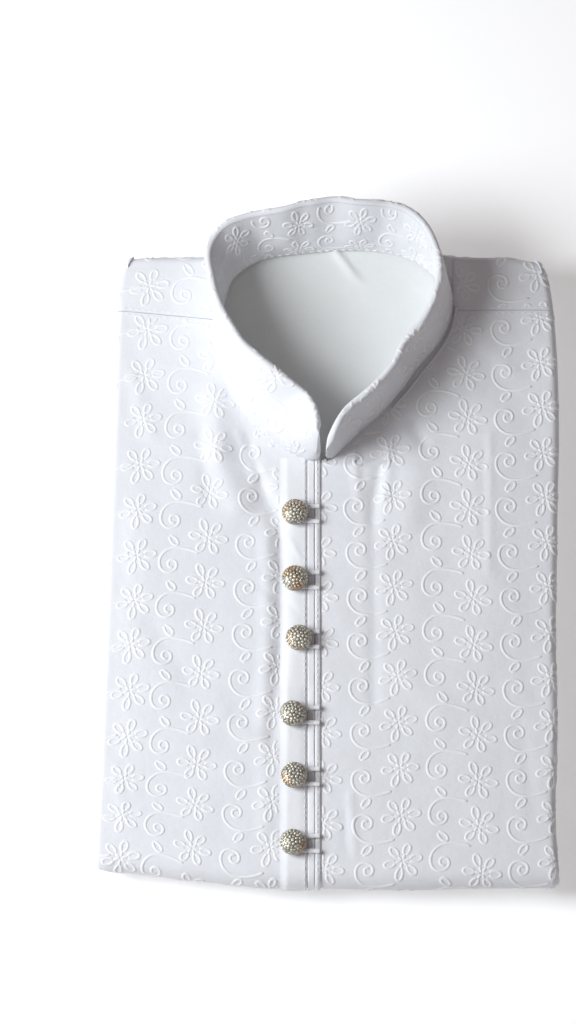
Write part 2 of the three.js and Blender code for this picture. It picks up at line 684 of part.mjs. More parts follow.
// The hidden layers: the lower arm with its folded edges, the filling of the upper arm inside the
// side folds, and the filling of the near fold; the facing's dish is taken out of the top.
function foldedLayers() {
  const lower = slab(
    LOWER_LAYERS.map(({ z, inset }) => ({ z, side: inset, near: 0, far: inset })),
    { z: KAMEEZ_BOTTOM, near: NEAR_RADIUS + UNDERTURN + 2 * GAP, far: BODY_LENGTH - 4, wave: 0.4 },
  );
  const aboveFlange = KAMEEZ_BOTTOM + FOLD_THICKNESS + GAP + CLOTH + FILLING.clear;
  const clear = SIDE_RADIUS + FLANGE + FILLING.clear;
  const top = TOP - CLOTH - FILLING.belowCloth;
  const inwards = (z, inset) => ({ z, side: inset, near: 0, far: inset });
  const upper = slab(
    [
      inwards(KAMEEZ_BOTTOM + FOLD_THICKNESS - FILLING.letIn, clear),
      inwards(aboveFlange, clear),
      inwards(aboveFlange + 0.01, FILLING.side),
      inwards(top - FILLING.bevelUp, FILLING.side),
      inwards(top, FILLING.side + FILLING.bevelIn),
    ],
    { z: 0, near: FILLING.near, far: BODY_LENGTH, wave: 0 },
  );
  const inner = NEAR_RADIUS - CLOTH - GAP - ROLL.clear;
  const filling = slab(
    steps(7, -ROLL.share, ROLL.share).map((share) => ({
      z: inner * share,
      side: ROLL.side,
      near: NEAR_RADIUS - inner * Math.sqrt(1 - share * share),
      far: 0,
    })),
    { z: NEAR_CENTRE, near: 0, far: ROLL.far, wave: 0 },
  );
  const dish = facingGrid(1.6, FACING_THICKNESS + GAP);
  const lid = dish.map((row) => row.map((p) => new THREE.Vector3(p.x, p.y, TOP + 12)));
  const solid = solidOf(lower).add(solidOf(upper)).add(solidOf(filling));
  return geometryOf(solid.subtract(solidOf(between(lid, dish))));
}

function shalwar() {
  return slab(evenly(SHALWAR_LAYERS), { z: 0, near: 3.5, far: BODY_LENGTH - 5, wave: 0.5 });
}

// Buttons and their loops

function standTop(x, y) {
  return TOP + relief(x, y) + STAND.lift + STAND.thickness;
}

function buttonGeometry() {
  const { radius, height, shank, sides } = BUTTON;
  const profile = [
    [0, 0],
    [shank, 0],
    [shank, 2.0],
    [radius * 0.8, 2.7],
    [radius, 4.2],
    [radius * 0.93, 5.8],
    [radius * 0.7, 7.5],
    [radius * 0.36, height - 0.2],
    [0, height],
  ];
  const lathe = new THREE.LatheGeometry(profile.map(([r, z]) => new THREE.Vector2(r, z)), sides);
  lathe.deleteAttribute('normal');
  lathe.deleteAttribute('uv');
  lathe.rotateX(Math.PI / 2);
  return mergeVertices(lathe, 1e-4);
}

function loopGeometry({ x, y }) {
  const low = standTop(x, y) + GAP + LOOP.radius;
  const high = TOP + relief(EDGE.from, y) + EDGE.lift + EDGE.thickness + GAP + LOOP.radius;
  const limb = (side) => [
    new THREE.Vector3(EDGE.to - LOOP.sewnIn, y + side * LOOP.halfWidth, high),
    new THREE.Vector3(EDGE.from - LOOP.offEdge, y + side * LOOP.halfWidth, high),
    new THREE.Vector3(x + LOOP.beforeBow, y + side * LOOP.halfWidth, low),
  ];
  const bow = steps(4, 0.5 * Math.PI, 1.5 * Math.PI).map((turn) => new THREE.Vector3(
    x + LOOP.halfWidth * Math.cos(turn),
    y + LOOP.halfWidth * Math.sin(turn),
    low,
  ));
  const path = new THREE.CatmullRomCurve3([...limb(1), ...bow, ...limb(-1).reverse()]);
  const section = new THREE.Shape(
    steps(LOOP.sides, 0, 2 * Math.PI).slice(0, -1).map((turn) => new THREE.Vector2(
      LOOP.radius * Math.cos(turn),
      LOOP.radius * Math.sin(turn),
    )),
  );
  const cord = new THREE.ExtrudeGeometry(section, { steps: LOOP.steps, extrudePath: path });
  cord.deleteAttribute('normal');
  cord.deleteAttribute('uv');
  return mergeVertices(cord, 1e-4);
}

// The whole

const group = new THREE.Group();

function addPiece(name, geometry, finish) {
  geometry.computeVertexNormals();
  const mesh = new THREE.Mesh(geometry, new THREE.MeshStandardMaterial(finish));
  mesh.name = name;
  group.add(mesh);
  return mesh;
}

addPiece('kameez_front_left', settled(wall(frontGrid(-1), CLOTH)), COTTON);
addPiece('kameez_front_right', settled(wall(frontGrid(1), CLOTH)), COTTON);
addPiece('kameez_back_yoke', wall(yokeGrid(), CLOTH), COTTON);
for (const strip of PLACKET_STRIPS) {
  addPiece(strip.name, settled(wall(stripGrid(strip), strip.thickness)), PLAIN_COTTON);
}
addPiece('collar_outer', wall(collarOuterGrid(COLLAR_BENDS), -COLLAR_PLY), COTTON);
addPiece('collar_inner', wall(collarInnerGrid(COLLAR_BENDS), COLLAR_PLY), COTTON);
addPiece('neck_facing', between(facingGrid(1.0, 0), facingGrid(1.0, FACING_THICKNESS)), FACING_CLOTH);
addPiece('kameez_folded_layers', settled(foldedLayers()), COTTON);
addPiece('shalwar_folded', settled(shalwar()), PLAIN_COTTON);
BUTTONS.forEach((button, i) => {
  const mesh = addPiece(`button_${i + 1}`, buttonGeometry(), ANTIQUE_SILVER);
  mesh.position.set(button.x, button.y, standTop(button.x, button.y) + GAP);
  addPiece(`button_loop_${i + 1}`, loopGeometry(button), PLAIN_COTTON);
});

const box = new THREE.Box3().setFromObject(group, true);
const middle = box.getCenter(new THREE.Vector3());
group.position.set(-middle.x, -middle.y, 0);

export default group;
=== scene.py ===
"""Looks of a man's shalwar kameez folded for the shelf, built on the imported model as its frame."""

import math

import bpy
import numpy as np
from bpy.props import FloatProperty, FloatVectorProperty, IntProperty, PointerProperty
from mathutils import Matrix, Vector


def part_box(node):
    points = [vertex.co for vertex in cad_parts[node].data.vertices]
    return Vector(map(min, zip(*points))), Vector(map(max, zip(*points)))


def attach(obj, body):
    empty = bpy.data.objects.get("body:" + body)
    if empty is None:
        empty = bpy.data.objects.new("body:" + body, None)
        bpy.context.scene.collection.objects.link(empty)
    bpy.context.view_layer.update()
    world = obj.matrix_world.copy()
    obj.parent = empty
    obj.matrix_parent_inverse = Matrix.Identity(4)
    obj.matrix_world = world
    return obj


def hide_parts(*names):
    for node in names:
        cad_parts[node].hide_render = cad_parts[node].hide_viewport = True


bl_info = {
    "name": "Folded Shalwar Kameez",
    "version": (1, 0, 0),
    "blender": (4, 5, 0),
    "location": "View3D > Sidebar > Kameez",
    "description": "Builds a folded, embroidered kameez on its shalwar",
    "category": "Object",
}

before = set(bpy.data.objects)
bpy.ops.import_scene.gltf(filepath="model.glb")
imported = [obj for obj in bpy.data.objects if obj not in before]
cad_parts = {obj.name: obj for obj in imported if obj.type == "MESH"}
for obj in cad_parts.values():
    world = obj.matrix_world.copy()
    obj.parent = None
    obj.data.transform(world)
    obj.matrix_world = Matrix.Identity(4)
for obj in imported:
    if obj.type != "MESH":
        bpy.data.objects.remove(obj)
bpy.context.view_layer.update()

# The cloth is laid out in millimetres, as a maker would: x = 0 near the placket, y = 0 at the near
# fold, z = 0 on the table. The first button says where that layout lies in the frame.
MM = 0.001
FIRST_BUTTON = (-17.4, 214.6)
_low, _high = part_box("button_1")
LAYOUT_SHIFT = np.array([
    (_low.x + _high.x) / 2 / MM - FIRST_BUTTON[0],
    (_low.y + _high.y) / 2 / MM - FIRST_BUTTON[1],
    0.0,
])

BODY_LENGTH = 368.0
GAP = 0.3                         # between pieces that touch
SHALWAR_HEIGHT = 8.0
FOLD_THICKNESS = 8.8              # of the upper half of the kameez, round which its sides fold
FLANGE = 10.0                     # the cloth turned in under a side fold
UNDERTURN = 12.0                  # and under the near fold
STRIP_END = 0.72 * math.pi        # how far round the near fold the strips go
CORNER_TURN = 0.93 * math.pi      # how far round the side folds the back piece goes
LEAST_FLANGE = 1.2                # what is left of it at the shoulder corners
FOLD_OPENS = (22.0, 60.0)         # nearer than this the side folds open, to make way for the near fold
SHOULDER_SEAM = {-1: (330.0, 335.0), 1: (335.5, 335.5)}    # y at the neck and at the side
PLACKET_LINE = -6.2               # x where the two fronts meet
KAMEEZ_BOTTOM = SHALWAR_HEIGHT + GAP
NEAR_RADIUS = FOLD_THICKNESS + GAP / 2
NEAR_CENTRE = KAMEEZ_BOTTOM + NEAR_RADIUS
TOP = KAMEEZ_BOTTOM + 2 * NEAR_RADIUS
SIDE_RADIUS = FOLD_THICKNESS / 2

# The folded outline: x of each side at y, and how far the near fold lies off the line y = 0 at x.
LEFT_EDGE = np.array([
    (0, -129.9), (120, -125.7), (240, -121.5), (330, -118.6), (350, -117.7), (360, -115.6),
    (368, -111.5),
])
RIGHT_EDGE = np.array([
    (0, 129.3), (20, 128.4), (41, 127.4), (76, 128.6), (106, 128.8), (145, 128.3), (194, 129.3),
    (223, 129.8), (262, 130.8), (300, 130.3), (320, 129.3), (335, 128.2), (350, 126.2), (360, 123.8),
    (368, 120.0),
])
NEAR_EDGE = np.array([
    (-130, 11.6), (-121, 9.4), (-110, 8.5), (-98, 7.1), (-82, 5.0), (-70, 3.8), (-54, 1.8), (-37, 0),
    (-5, 0), (12, -0.7), (30, -1.2), (53, -1.2), (75, -0.6), (97, -0.2), (130, 0),
])
NEAR_SETTLE = (15.0, 75.0)        # the layers follow the near fold this far in
SHOULDER_BULGE = (5.0, 52.0, 12.0)    # its middle, width and reach
SHOULDER_CORNER = (100.0, 124.0, 3.5)    # from, to, drop
NAPE = (5.0, 70.0, 2.6)           # the cloth's rise under the back of the neck: middle, width, rise

COLLAR_HEIGHT = 38.0
COLLAR_HALF = 2.0                 # half the band's thickness
COLLAR_PLY = 1.8                  # wall of one ply
COLLAR_SINK = 1.2                 # the foot lies this far below the top cloth
COLLAR_CORNER = 13.0              # rounding of the front corners
COLLAR_STAND = 0.38               # how steeply the band rises from its foot before it leans
ROLL_DEPTH = 0.4                  # the outer ply turned down inside the rim
CLOSE = 0.05                      # a seam drawn tight
BAND_END = 3.0                    # over this length the band thins towards its front ends
RIM_SWAY = 0.3
INNER_MOTIFS = 0.78               # the size of the inner ply's motifs against the panels'

# The neck seam stands up as a soft ridge beside the band's foot on the right.
SEAM_RIDGE = [(73.4, 338.0), (71.0, 325.0), (64.5, 312.0), (55.2, 299.6), (46.4, 287.6), (37.5, 277.0)]

# Where the band meets the neck, and how far its rim leans away, from the left tip round the back.
COLLAR_STATIONS = np.array([
    # x, y, lean x, lean y
    (-8.5, 247.5, 4.8, 5.6),
    (-24.2, 255.9, 16.9, 12.9),
    (-37.2, 267.0, 23.2, 12.2),
    (-47.8, 280.2, 21.8, 8.8),
    (-55.4, 295.4, 17.0, 2.4),
    (-60.0, 311.0, 10.8, -3.6),
    (-61.4, 328.0, 2.1, -3.0),
    (-58.4, 343.0, -5.9, 0.4),
    (-55.4, 352.6, -10.4, 7.1),
    (-48.6, 360.4, -8.9, 14.2),
    (-36.5, 367.2, -4.9, 11.8),
    (-15.0, 370.6, -1.0, 14.3),
    (5.6, 372.2, 0.0, 16.2),
    (26.0, 372.2, 1.8, 14.7),
    (42.5, 369.4, 2.8, 13.9),
    (56.0, 363.0, 0.6, 7.3),
    (65.5, 353.0, -2.9, 3.3),
    (69.5, 338.0, -6.3, 1.3),
    (63.5, 319.0, -8.4, -0.4),
    (51.5, 303.6, -7.9, 1.2),
    (41.0, 289.0, -4.3, 1.8),
    (29.8, 275.6, -3.9, 2.3),
    (15.5, 262.5, -3.3, 2.9),
    (2.2, 249.0, -1.1, -2.2),
])
BACK_X = 5.6                      # the middle of the back of the neck

TIP_FULLNESS = (4.5, 2.8)         # the band's left and right front ends swell towards each other
TIP_REACH = 4.5                   # and how far from the ends the swelling is felt
TIP_DRAWN_IN = 3.0                # the left end's foot is drawn in by this, so its corner is round

# Soft pleats of the band: place along the neck as a share, width, and how far they push outwards.
COLLAR_PLEATS = [
    # along, width, outwards
    (0.13, 14.0, 0.7),
    (0.24, 10.0, -0.6),
    (0.356, 6.0, -1.3),
    (0.388, 6.5, 1.4),
    (0.43, 6.0, -0.7),
    (0.452, 5.0, 0.6),
    (0.492, 8.0, 1.1),
    (0.528, 9.0, -1.3),
    (0.565, 5.0, 0.5),
    (0.60, 4.0, -0.4),
    (0.63, 6.0, 0.8),
    (0.72, 12.0, -0.6),
    (0.85, 15.0, 0.6),
]

# Folds of the front: width, height above the cloth (troughs below 0), and the line they follow.
FRONT_FOLDS = [
    (8.0, 2.4, [(-62.7, 284), (-60.5, 254)]),           # left chest ridge, upper
    (7.0, 1.6, [(-60.5, 250), (-50, 222)]),             # left chest ridge, lower
    (6.0, -1.6, [(-44, 258), (-33, 212)]),              # left chest valley
    (4.4, -1.7, [(-35, 234), (-30.6, 223), (-26.4, 213), (-24.4, 204), (-24, 178), (-24.4, 142),
                 (-26, 122)]),                          # the trough beside the placket
    (4.2, -0.8, [(-26.6, 116), (-28.4, 102), (-29.6, 84)]),
    (2.4, -0.45, [(-11, 112), (-10.8, 20)]),            # where the strips meet, lower half
    (3.4, -1.6, [(30.8, 246), (29, 233.5), (27, 222), (26.3, 212)]),
    (3.1, -0.6, [(26.4, 206), (27, 160), (26.6, 105)]),
    (7.0, -0.5, [(22, 248), (19, 213)]),                # right chest valley
    (10.0, 1.3, [(50, 246), (47, 212)]),                # right chest ridge
    (16.0, 0.9, [(92, 265), (96, 150)]),                # right side swell
    (18.0, 0.8, [(-104, 210), (-100, 90)]),             # left side swell
    (4.2, 0.9, [(-34.6, 214), (-33.2, 190), (-33.0, 142), (-35.4, 96)]),
    (1.6, -0.4, [(-37, 172), (-30, 167), (-26, 166)]),  # drawn towards the second button
    (1.5, -0.4, [(-36, 181), (-30, 178.5), (-26, 177)]),
    (1.6, -0.35, [(-35, 148), (-28, 143.5)]),
    (1.5, 0.35, [(-24, 205), (-19, 198), (-14, 188)]),
    (1.5, -0.3, [(-24, 166), (-17, 158)]),
    (4.0, 0.5, [(-35.0, 90), (-34.0, 30)]),
    (2.6, 0.8, [(-48.0, 262), (-40.0, 236)]),
    (2.2, 0.6, [(-38.5, 254), (-30.0, 226)]),
    (4.0, -0.7, [(-70.0, 262), (-66.0, 226)]),
    (2.6, 0.8, [(15.5, 250), (18.0, 226)]),
    (3.4, 0.8, [(35.0, 256), (33.0, 224)]),
    (3.6, -1.2, [(49.0, 268), (54.0, 258)]),
    (2.2, 0.45, [(92.0, 262), (91.0, 182)]),
    (2.6, -0.35, [(88.0, 250), (88.5, 196)]),
    (2.2, 0.6, [(13.5, 52), (16.5, 8)]),
    (1.8, -0.45, [(10.5, 40), (11.5, 12)]),
    (5.0, 0.45, [(-58.0, 96), (-40.0, 84)]),
    (6.0, -0.4, [(-96.0, 150), (-78.0, 118)]),
    (6.5, 0.4, [(44.0, 120), (62.0, 104)]),
    (4.5, -0.4, [(108.0, 92), (116.0, 40)]),
    (5.0, 0.5, [(-112.0, 300), (-98.0, 262)]),
    (5.0, 0.5, [(84.0, 322), (104.0, 300)]),
    (4.0, 0.4, [(-119.0, 70), (-112.0, 26)]),
]

RIPPLES = (0.16, 0.22)            # heights of the small and the wide unevenness of the cloth

# The plain strips of the opening: from, to, thickness.
BUTTON_STAND = (-25.4, -10.9, 1.1)
UNDERLAP = (-10.3, -6.6, 0.8)
PLACKET_EDGE = (-6.1, -3.4, 1.0)
STRIP_OVERLAP = 0.13              # each strip comes this much nearer its neighbour

BUTTON_PLACES = [
    # x, y
    FIRST_BUTTON,
    (-17.4, 175.7),
    (-15.2, 141.0),
    (-18.6, 96.8),
    (-17.9, 60.9),
    (-18.6, 22.1),
]
BUTTON_RADIUS = 7.6
DOME_MIDDLE = 4.6                 # height of the dome's widest part above the button's foot
LOOP_REACH = 4.2                  # a loop's limbs lie this far from the middle of its button
LOOP_WIDTH, LOOP_HEIGHT = 1.35, 0.95    # half the loop's width and height

# Columns of the embroidery at mid length, from the left side fold to the right one. A turned column
# is the same motif upside down.
MOTIF_COLUMNS = [
    # motif, turned, x, y of its middle at mid length, sideways shift for each mm of y
    ("spiral", False, -128.8, 146.0, 0.045),
    ("flower", False, -108.6, 164.6, 0.045),
    ("spiral", True, -88.4, 132.2, 0.045),
    ("flower", True, -68.9, 148.4, 0.045),
    ("spiral", False, -45.2, 145.7, 0.045),
    ("flower", False, -26.4, 153.0, 0.040),
    ("flower", True, -3.6, 141.0, -0.020),
    ("spiral", False, 19.8, 140.6, -0.024),
    ("flower", False, 38.8, 146.3, -0.024),
    ("spiral", True, 62.3, 145.8, -0.024),
    ("flower", True, 82.3, 138.7, -0.026),
    ("spiral", False, 105.4, 140.0, -0.028),
    ("flower", False, 124.8, 145.7, -0.028),
]
MOTIF_REPEAT = 26.5               # from one motif to the next in a column
COLUMN_SPACING = 21.5             # from one column to the next round the collar
MID_LENGTH = 140.0
PETALS = [
    # angle, length, distance from the middle
    (9, 6.6, 4.2),
    (66, 5.9, 3.6),
    (132, 6.0, 3.4),
    (194, 6.4, 4.0),
    (255, 6.8, 4.0),
    (314, 6.3, 3.8),
]
SPIRAL_ARM = np.array([
    # angle, radius
    (-300, 1.5), (-240, 1.9), (-180, 2.2), (-90, 2.6), (0, 2.8), (45, 3.3), (90, 4.1), (120, 5.2),
    (150, 6.5), (180, 7.2), (215, 7.9), (240, 8.5),
])
SPIRAL_TAIL = [(-2.0, -8.9), (1.6, -9.8), (6.5, -9.7), (11.6, -8.6), (15.4, -7.2)]
SPIRAL_LEAF = (-1.6, -16.4)

# Edge profiles of the hidden bundles: height, and how far the edge lies in from the outline.
LOWER_LAYERS = np.array([
    (0.0, 4.2), (0.9, 1.6), (2.2, 0.6), (3.4, 1.4), (4.1, 3.8), (4.8, 1.7), (6.3, 0.7), (7.8, 1.9),
    (8.8, 4.6),
])
SHALWAR_LAYERS = np.array([
    (0.0, 2.8), (0.9, 1.1), (1.9, 1.0), (2.6, 3.6), (3.2, 1.2), (4.3, 0.4), (5.0, 1.2), (5.5, 3.2),
    (6.1, 1.8), (7.1, 1.9), (8.0, 4.4),
])

BUNDLE_CORNERS = (5.0, 14.0)      # rounding at the near fold, at the shoulders

# The photograph's view: its angle above the table, its distance, the point of the layout that it looks
# at, and how much it takes in from top to bottom at that point.
CAMERA_ELEVATION = math.radians(72)
CAMERA_DISTANCE = 8.0
CAMERA_TARGET = (LAYOUT_SHIFT + (-21.3, 218.4, 20.0)) * MM
FRAME_HEIGHT = 0.5734
SENSOR = 36.0

LIGHTS = (
    # name, its setting, size, place
    ("key light", "key", 0.65, (-0.88, -0.07, 0.83)),
    ("fill light", "fill", 2.0, (0.25, -1.35, 1.6)),
)
LIGHT_COLOUR = (0.92, 0.965, 1.0)
SURROUND_COLOUR = (1.0, 0.85, 0.84, 1.0)
SURROUND_STRENGTH = 0.17


# Settings

class ClothSettings(bpy.types.PropertyGroup):
    cotton: FloatVectorProperty(
        name="Cotton colour", description="White of the embroidered cotton", subtype="COLOR",
        default=(0.80, 0.81, 0.835), min=0, max=1)
    plain: FloatVectorProperty(
        name="Plain cotton colour", description="White of the strips and the shalwar", subtype="COLOR",
        default=(0.83, 0.835, 0.855), min=0, max=1)
    facing: FloatVectorProperty(
        name="Facing colour", description="Off-white of the neck facing", subtype="COLOR",
        default=(0.74, 0.755, 0.74), min=0, max=1)
    wall: FloatProperty(
        name="Cloth wall", description="Thickness of the embroidered cloth with its inlay",
        unit="LENGTH", default=0.0016, min=0.001, max=0.003)
    pitch: FloatProperty(
        name="Thread pitch", description="Distance from one thread of the weave to the next",
        unit="LENGTH", default=0.00045, min=0.0001, max=0.002)


class EmbroiderySettings(bpy.types.PropertyGroup):
    width: FloatProperty(
        name="Stitch width", description="Width of an embroidered line", unit="LENGTH",
        default=0.0020, min=0.0005, max=0.003)
    height: FloatProperty(
        name="Stitch height", description="How far an embroidered line stands up", unit="LENGTH",
        default=0.00036, min=0.0001, max=0.002)
    thread: FloatVectorProperty(
        name="Thread colour", description="Colour of the embroidery", subtype="COLOR",
        default=(0.86, 0.865, 0.88), min=0, max=1)
    seed: IntProperty(
        name="Hand", description="Another number places each motif a little differently",
        default=7, min=0)


class ButtonSettings(bpy.types.PropertyGroup):
    metal: FloatVectorProperty(
        name="Metal colour", description="Antique silver of the button's base", subtype="COLOR",
        default=(0.42, 0.39, 0.32), min=0, max=1)
    stone: FloatVectorProperty(
        name="Stone colour", description="Tint of the foil behind the cut stones", subtype="COLOR",
        default=(0.54, 0.52, 0.45), min=0, max=1)
    stone_width: FloatProperty(
        name="Stone width", description="Width of one cut stone", unit="LENGTH",
        default=0.0018, min=0.001, max=0.004)


class StudioSettings(bpy.types.PropertyGroup):
    key: FloatProperty(
        name="Key light", description="Strength of the soft light from the left", unit="POWER",
        default=17.8, min=0)
    fill: FloatProperty(
        name="Fill light", description="Strength of the wide light from the near side", unit="POWER",
        default=4.0, min=0)
    floor: FloatVectorProperty(
        name="Floor colour", description="Colour of the table", subtype="COLOR",
        default=(0.9, 0.9, 0.9), min=0, max=1)


SETTINGS = {
    "kameez_cloth": ClothSettings,
    "kameez_embroidery": EmbroiderySettings,
    "kameez_buttons": ButtonSettings,
    "kameez_studio": StudioSettings,
}


# Curves and steps

def smoothstep(value, low, high):
    share = np.clip((value - low) / (high - low), 0, 1)
    return share * share * (3 - 2 * share)


class SmoothCurve:
    """A curve through points, with even travel along its length."""

    def __init__(self, points):
        self.points = np.asarray(points, float)
        self.last = len(self.points) - 1
        self.shares = np.linspace(0, 1, 201)
        reached = self.at(self.shares)
        lengths = np.linalg.norm(np.diff(reached, axis=0), axis=1)
        self.travelled = np.concatenate([[0], np.cumsum(lengths)])
        self.length = self.travelled[-1]

    def at(self, share):
        points = self.points
        place = np.clip(np.asarray(share, float), 0, 1) * self.last
        start = np.minimum(place.astype(int), self.last - 1)
        weight = (place - start)[..., None]
        padded = np.concatenate([[2 * points[0] - points[1]], points, [2 * points[-1] - points[-2]]])
        p0, p1, p2, p3 = (padded[start + k] for k in range(4))
        d0, d1, d2 = (np.sqrt(np.linalg.norm(step, axis=-1, keepdims=True))
                      for step in (p1 - p0, p2 - p1, p3 - p2))
        leave = ((p1 - p0) / d0 - (p2 - p0) / (d0 + d1) + (p2 - p1) / d1) * d1
        arrive = ((p2 - p1) / d1 - (p3 - p1) / (d1 + d2) + (p3 - p2) / d2) * d1
        squared = weight * weight
        cubed = squared * weight
        bend = (-3 * p1 + 3 * p2 - 2 * leave - arrive) * squared
        return p1 + leave * weight + bend + (2 * p1 - 2 * p2 + leave + arrive) * cubed

    def share_at(self, travel):
        return np.interp(np.asarray(travel, float) * self.length, self.travelled, self.shares)


def resampled(points, step):
    """The same line with points an even step apart."""
    points = np.asarray(points, float)
    travelled = np.concatenate([[0], np.cumsum(np.linalg.norm(np.diff(points, axis=0), axis=1))])
    count = max(int(round(travelled[-1] / step)), 2)
    stops = np.linspace(0, travelled[-1], count + 1)
    return np.stack([np.interp(stops, travelled, points[:, k]) for k in range(points.shape[1])], -1)


def unit(vectors):
    return vectors / np.maximum(np.linalg.norm(vectors, axis=-1, keepdims=True), 1e-12)


# The folded outline

def through(stations, wanted):
    """A smooth line through stations of place and value, level beyond its ends."""
    places, values = stations.T
    last = len(places) - 1
    before = np.maximum(np.arange(last + 1) - 1, 0)
    after = np.minimum(np.arange(last + 1) + 1, last)
    slope = (values[after] - values[before]) / (places[after] - places[before])
    at = np.clip(wanted, places[0], places[-1])
    k = np.clip(np.searchsorted(places, at), 1, last) - 1
    span = places[k + 1] - places[k]
    f = (at - places[k]) / span
    squared, cubed = f * f, f * f * f
    level = values[k] * (2 * cubed - 3 * squared + 1) + values[k + 1] * (3 * squared - 2 * cubed)
    return level + span * (slope[k] * (cubed - 2 * squared + f) + slope[k + 1] * (cubed - squared))


def side_edge(side, y):
    return through(LEFT_EDGE if side < 0 else RIGHT_EDGE, y)


def far_edge(x):
    middle, width, reach = SHOULDER_BULGE
    start, stop, drop = SHOULDER_CORNER
    bulge = reach * np.exp(-(((x - middle) / width) ** 4))
    return BODY_LENGTH + bulge - drop * smoothstep(np.abs(x), start, stop)


def distance_to(line, x, y):
    """How far x and y lie from the nearest stretch of a line."""
    nearest = np.full(np.broadcast(x, y).shape, np.inf)
    for (x0, y0), (x1, y1) in zip(line, line[1:]):
        dx, dy = x1 - x0, y1 - y0
        along = np.clip(((x - x0) * dx + (y - y0) * dy) / (dx * dx + dy * dy), 0, 1)
        nearest = np.minimum(nearest, np.hypot(x - x0 - along * dx, y - y0 - along * dy))
    return nearest


def relief(x, y):
    """How far the top cloth stands above the flat stack: its folds, two faint ripples and the nape."""
    height = np.zeros(np.broadcast(x, y).shape)
    for width, rise, line in FRONT_FOLDS:
        height = height + rise * np.exp(-((distance_to(line, x, y) / width) ** 2))
    small = np.sin(x / 7.3 + 1.7 * np.sin(y / 23)) * np.sin(y / 11.9 + 1.3 * np.sin(x / 17))
    wide = np.sin(x / 19 + 0.9 * np.sin(y / 41) + 0.6) * np.sin(y / 27 + 0.8)
    height = height + RIPPLES[0] * small
    height = height + RIPPLES[1] * wide
    to_side = np.minimum(x - side_edge(-1, y), side_edge(1, y) - x)
    height = height * smoothstep(to_side, 3, 16) * smoothstep(y, NEAR_RADIUS, NEAR_RADIUS + 20)
    middle, width, rise = NAPE
    nape = rise * np.exp(-(((x - middle) / width) ** 2)) * smoothstep(to_side, 0, 30)
    return height + nape * smoothstep(y, 327, 372)


def near_fold(b):
    """Path of the front over the near fold and under: y, z and the outward direction's y and z."""
    turn = np.clip((NEAR_RADIUS - b) / NEAR_RADIUS, 0, math.pi)
    beyond = np.maximum((NEAR_RADIUS - b) / NEAR_RADIUS - math.pi, 0) * NEAR_RADIUS
    out_y, out_z = -np.sin(turn), np.cos(turn)
    y = np.where(b >= NEAR_RADIUS, b, NEAR_RADIUS * (1 + out_y) + beyond)
    return y, NEAR_CENTRE + NEAR_RADIUS * out_z, out_y, out_z


def near_outward(b):
    """The outward direction of the flat front and its near fold."""
    _, _, out_y, out_z = near_fold(b)
    return np.stack([np.zeros_like(out_y), out_y, out_z], -1)


def side_fold(a):
    """Path round a side fold: how far out and how far down the cloth is after the distance a."""
    turn = np.clip(a / SIDE_RADIUS, 0, math.pi)
    beyond = np.maximum(a - math.pi * SIDE_RADIUS, 0)
    return SIDE_RADIUS * np.sin(turn) - beyond, SIDE_RADIUS * (1 - np.cos(turn))


def front_surface(s, b):
    """The front's outer face. s runs across and round the side folds, b along and round the near fold."""
    y, z, out_y, out_z = near_fold(b)
    left = side_edge(-1, y) + SIDE_RADIUS
    right = side_edge(1, y) - SIDE_RADIUS
    a = np.maximum(np.maximum(left - s, s - right), 0)
    out, down = side_fold(a)
    x = np.clip(s, left, right) + np.sign(s - np.clip(s, left, right)) * out
    height = relief(x, y) * ((b >= NEAR_RADIUS) & (a < SIDE_RADIUS)) - down
    return np.stack([x, y + out_y * height, z + out_z * height], -1)


def shoulder_surface(x, y):
    """The back piece's outer face, on round the side folds and the shoulder fold."""
    left = side_edge(-1, y) + SIDE_RADIUS
    right = side_edge(1, y) - SIDE_RADIUS
    inside = np.clip(x, left, right)
    far = far_edge(inside) - SIDE_RADIUS
    u = np.abs(x - inside)
    v = np.maximum(y - far, 0)
    out, down = side_fold(np.maximum(u, v))
    length = np.maximum(np.hypot(u, v), 1e-9)
    near = np.minimum(y, far)
    height = relief(inside, near) * (1 - np.clip(down / FOLD_THICKNESS, 0, 1))
    across = np.sign(x - inside) * out * u / length
    return np.stack([inside + across, near + out * v / length, TOP + height - down], -1)


# Collar

BASE_CURVE = SmoothCurve(COLLAR_STATIONS[:, :2])
LEAN_CURVE = SmoothCurve(COLLAR_STATIONS[:, 2:])
NECK_LENGTH = BASE_CURVE.length


def neck_line(outwards):
    """The line of the band's foot, moved outwards from the neck."""
    small = 1e-4
    share = BASE_CURVE.share_at(np.linspace(0, 1, 141))
    base = BASE_CURVE.at(share)
    along = unit(BASE_CURVE.at(np.clip(share + small, 0, 1)) - BASE_CURVE.at(np.clip(share - small, 0, 1)))
    return base + outwards * np.stack([-along[:, 1], along[:, 0]], -1)


def collar_height(u):
    """Height of the band at u, a share of its length: its front corners are rounded."""
    from_tip = np.minimum(u, 1 - u) * NECK_LENGTH
    cut = 1 - np.minimum(from_tip / COLLAR_CORNER, 1)
    sway = RIM_SWAY * np.sin(u * 41 + 2 * np.sin(u * 17))
    return COLLAR_HEIGHT + sway - COLLAR_CORNER * (1 - np.sqrt(1 - cut * cut))


